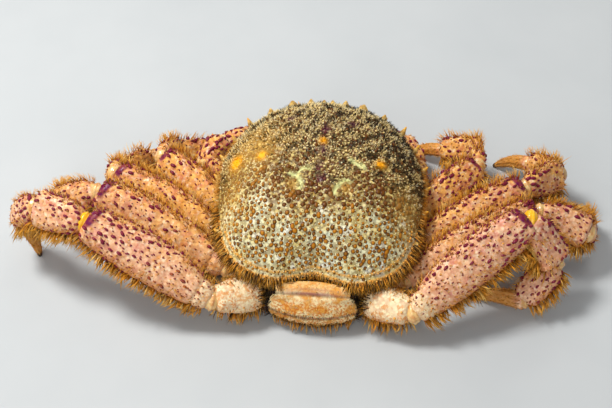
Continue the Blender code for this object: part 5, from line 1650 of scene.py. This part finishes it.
def build_head(kit):
    """Eyes, feelers, jaws and the frame of the mouth."""
    for side, side_name in ((1.0, "_right"), (-1.0, "_left")):
        plate("eyeball" + side_name, [eye_skin(side)], kit.paints["eye"], "eye", ["eye" + side_name])
        feeler, jaw = feeler_skin(side), jaw_skin(side)
        plate("feeler" + side_name, [feeler], kit.paints["limb"], "feeler", ["antenna" + side_name])
        plate("jaw" + side_name, [jaw], kit.paints["belly"], "mouth", ["maxilliped" + side_name])
        bed = Bed(kit, [jaw], "mouth", side_name)
        bed.grow("jaw_bristles", bed.flat("inner"), bed.flat("out"), 2.4)
        bed.grow("jaw_setae", 0.5, bed.flat("out"), 1.2)
        bed = Bed(kit, [feeler], "feeler", side_name)
        bed.grow("feeler_bristles", 1.0, antenna_line(side)[1], 1.1)
    plate("short_feelers", small_feelers(), kit.paints["limb"], "feeler")
    plate("mouth_frame", mouth_frame(), kit.paints["belly"], "mouth")


def build_stage():
    """Pale floor that curves up behind, soft lights, a pale sky and the camera."""
    scene = bpy.context.scene
    across = np.linspace(-FLOOR_HALF_WIDTH, FLOOR_HALF_WIDTH, 12)
    count = len(across)
    points = [(x, y, z) for y, z in FLOOR_LINE for x in across]
    corners = [r * count + k for r in range(len(FLOOR_LINE) - 1) for k in range(count - 1)]
    mesh = mesh_of("floor", points, [(a, a + 1, a + count + 1, a + count) for a in corners])
    mesh.materials.append(floor_paint())
    floor = link("floor", mesh)
    floor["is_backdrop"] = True
    scene.world = bpy.data.worlds.new("sky")
    scene.world.use_nodes = True
    sky = scene.world.node_tree.nodes["Background"].inputs
    sky[0].default_value, sky[1].default_value = SKY, SKY_STRENGTH
    scene.view_settings.view_transform = "Standard"
    middle = Vector((0.0, -REST_Y * MM, 0.02))
    for name, place, size, power in LIGHTS:
        lamp = bpy.data.lights.new(name, "AREA")
        lamp.shape, lamp.size, lamp.energy = "DISK", size, power
        light = link(name, lamp)
        light.location, light.rotation_mode = place, "QUATERNION"
        light.rotation_quaternion = (middle - Vector(place)).to_track_quat("-Z", "Y")
    lens = bpy.data.cameras.new("camera")
    lens.lens, lens.clip_start, lens.clip_end = CAMERA_LENS, 0.01, 20.0
    a, e = math.radians(CAMERA_AZIMUTH), math.radians(CAMERA_HEIGHT)
    back = Vector((math.sin(a) * math.cos(e), -math.cos(a) * math.cos(e), math.sin(e)))
    target = Vector(CAMERA_TARGET) - Vector((0.0, REST_Y, 0.0))
    scene.camera = link("camera", lens)
    scene.camera.location = (target + back * CAMERA_DISTANCE) * MM
    scene.camera.rotation_mode = "QUATERNION"
    scene.camera.rotation_quaternion = (-back).to_track_quat("-Z", "Y")


# Operators and panel

class CrabStep(bpy.types.Operator):
    kit = None

    def execute(self, context):
        if CrabStep.kit is None:
            CrabStep.kit = Kit(context.scene)
        before = len(bpy.data.objects)
        self.build(CrabStep.kit)
        if len(bpy.data.objects) == before:
            raise RuntimeError("%s made nothing" % self.bl_label)
        return {"FINISHED"}


class CrabShell(CrabStep):
    """Build the back shell with its teeth, grains and bristles"""
    bl_idname = "crab.shell"
    bl_label = "Back shell"
    build = staticmethod(build_shell)


class CrabBelly(CrabStep):
    """Build the belly flap and the breastplate"""
    bl_idname = "crab.belly"
    bl_label = "Belly"
    build = staticmethod(build_belly)


class CrabLegs(CrabStep):
    """Build the eight walking legs"""
    bl_idname = "crab.legs"
    bl_label = "Walking legs"

    def build(self, kit):
        for side_name in ("right", "left"):
            for number in (1, 2, 3, 4):
                build_limb(kit, side_name, number)


class CrabClaws(CrabStep):
    """Build the two claw legs"""
    bl_idname = "crab.claws"
    bl_label = "Claws"

    def build(self, kit):
        for side_name in ("right", "left"):
            build_limb(kit, side_name, 0)


class CrabHead(CrabStep):
    """Build the eyes, feelers and jaws"""
    bl_idname = "crab.head"
    bl_label = "Head"
    build = staticmethod(build_head)


class CrabStage(CrabStep):
    """Set the floor, the lights and the camera"""
    bl_idname = "crab.stage"
    bl_label = "Stage"

    def build(self, kit):
        build_stage()


STEPS = (CrabShell, CrabBelly, CrabLegs, CrabClaws, CrabHead, CrabStage)


class CrabPanel(bpy.types.Panel):
    """Sidebar panel with the crab's parts, sizes and colours"""
    bl_idname = "VIEW3D_PT_crab"
    bl_label = "Horsehair crab"
    bl_space_type = "VIEW_3D"
    bl_region_type = "UI"
    bl_category = "Crab"

    def draw(self, context):
        for settings in (context.scene.crab_sizes, context.scene.crab_colours):
            for name in settings.bl_rna.properties.keys():
                if name not in ("rna_type", "name"):
                    self.layout.prop(settings, name)
        for part in STEPS:
            self.layout.operator(part.bl_idname)


CLASSES = (CrabSizes, CrabColours, *STEPS, CrabPanel)


def register():
    for thing in CLASSES:
        bpy.utils.register_class(thing)
    bpy.types.Scene.crab_sizes = bpy.props.PointerProperty(type=CrabSizes)
    bpy.types.Scene.crab_colours = bpy.props.PointerProperty(type=CrabColours)


def unregister():
    del bpy.types.Scene.crab_sizes
    del bpy.types.Scene.crab_colours
    for thing in reversed(CLASSES):
        bpy.utils.unregister_class(thing)


def main():
    register()
    bpy.ops.crab.shell()
    bpy.ops.crab.belly()
    bpy.ops.crab.legs()
    bpy.ops.crab.claws()
    bpy.ops.crab.head()
    bpy.ops.crab.stage()
    boxes = {"cad": CAD_BOX, "visual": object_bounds()}
    {name: [list(corner) for corner in box] for name, box in boxes.items()}


if __name__ == "__main__":
    main()
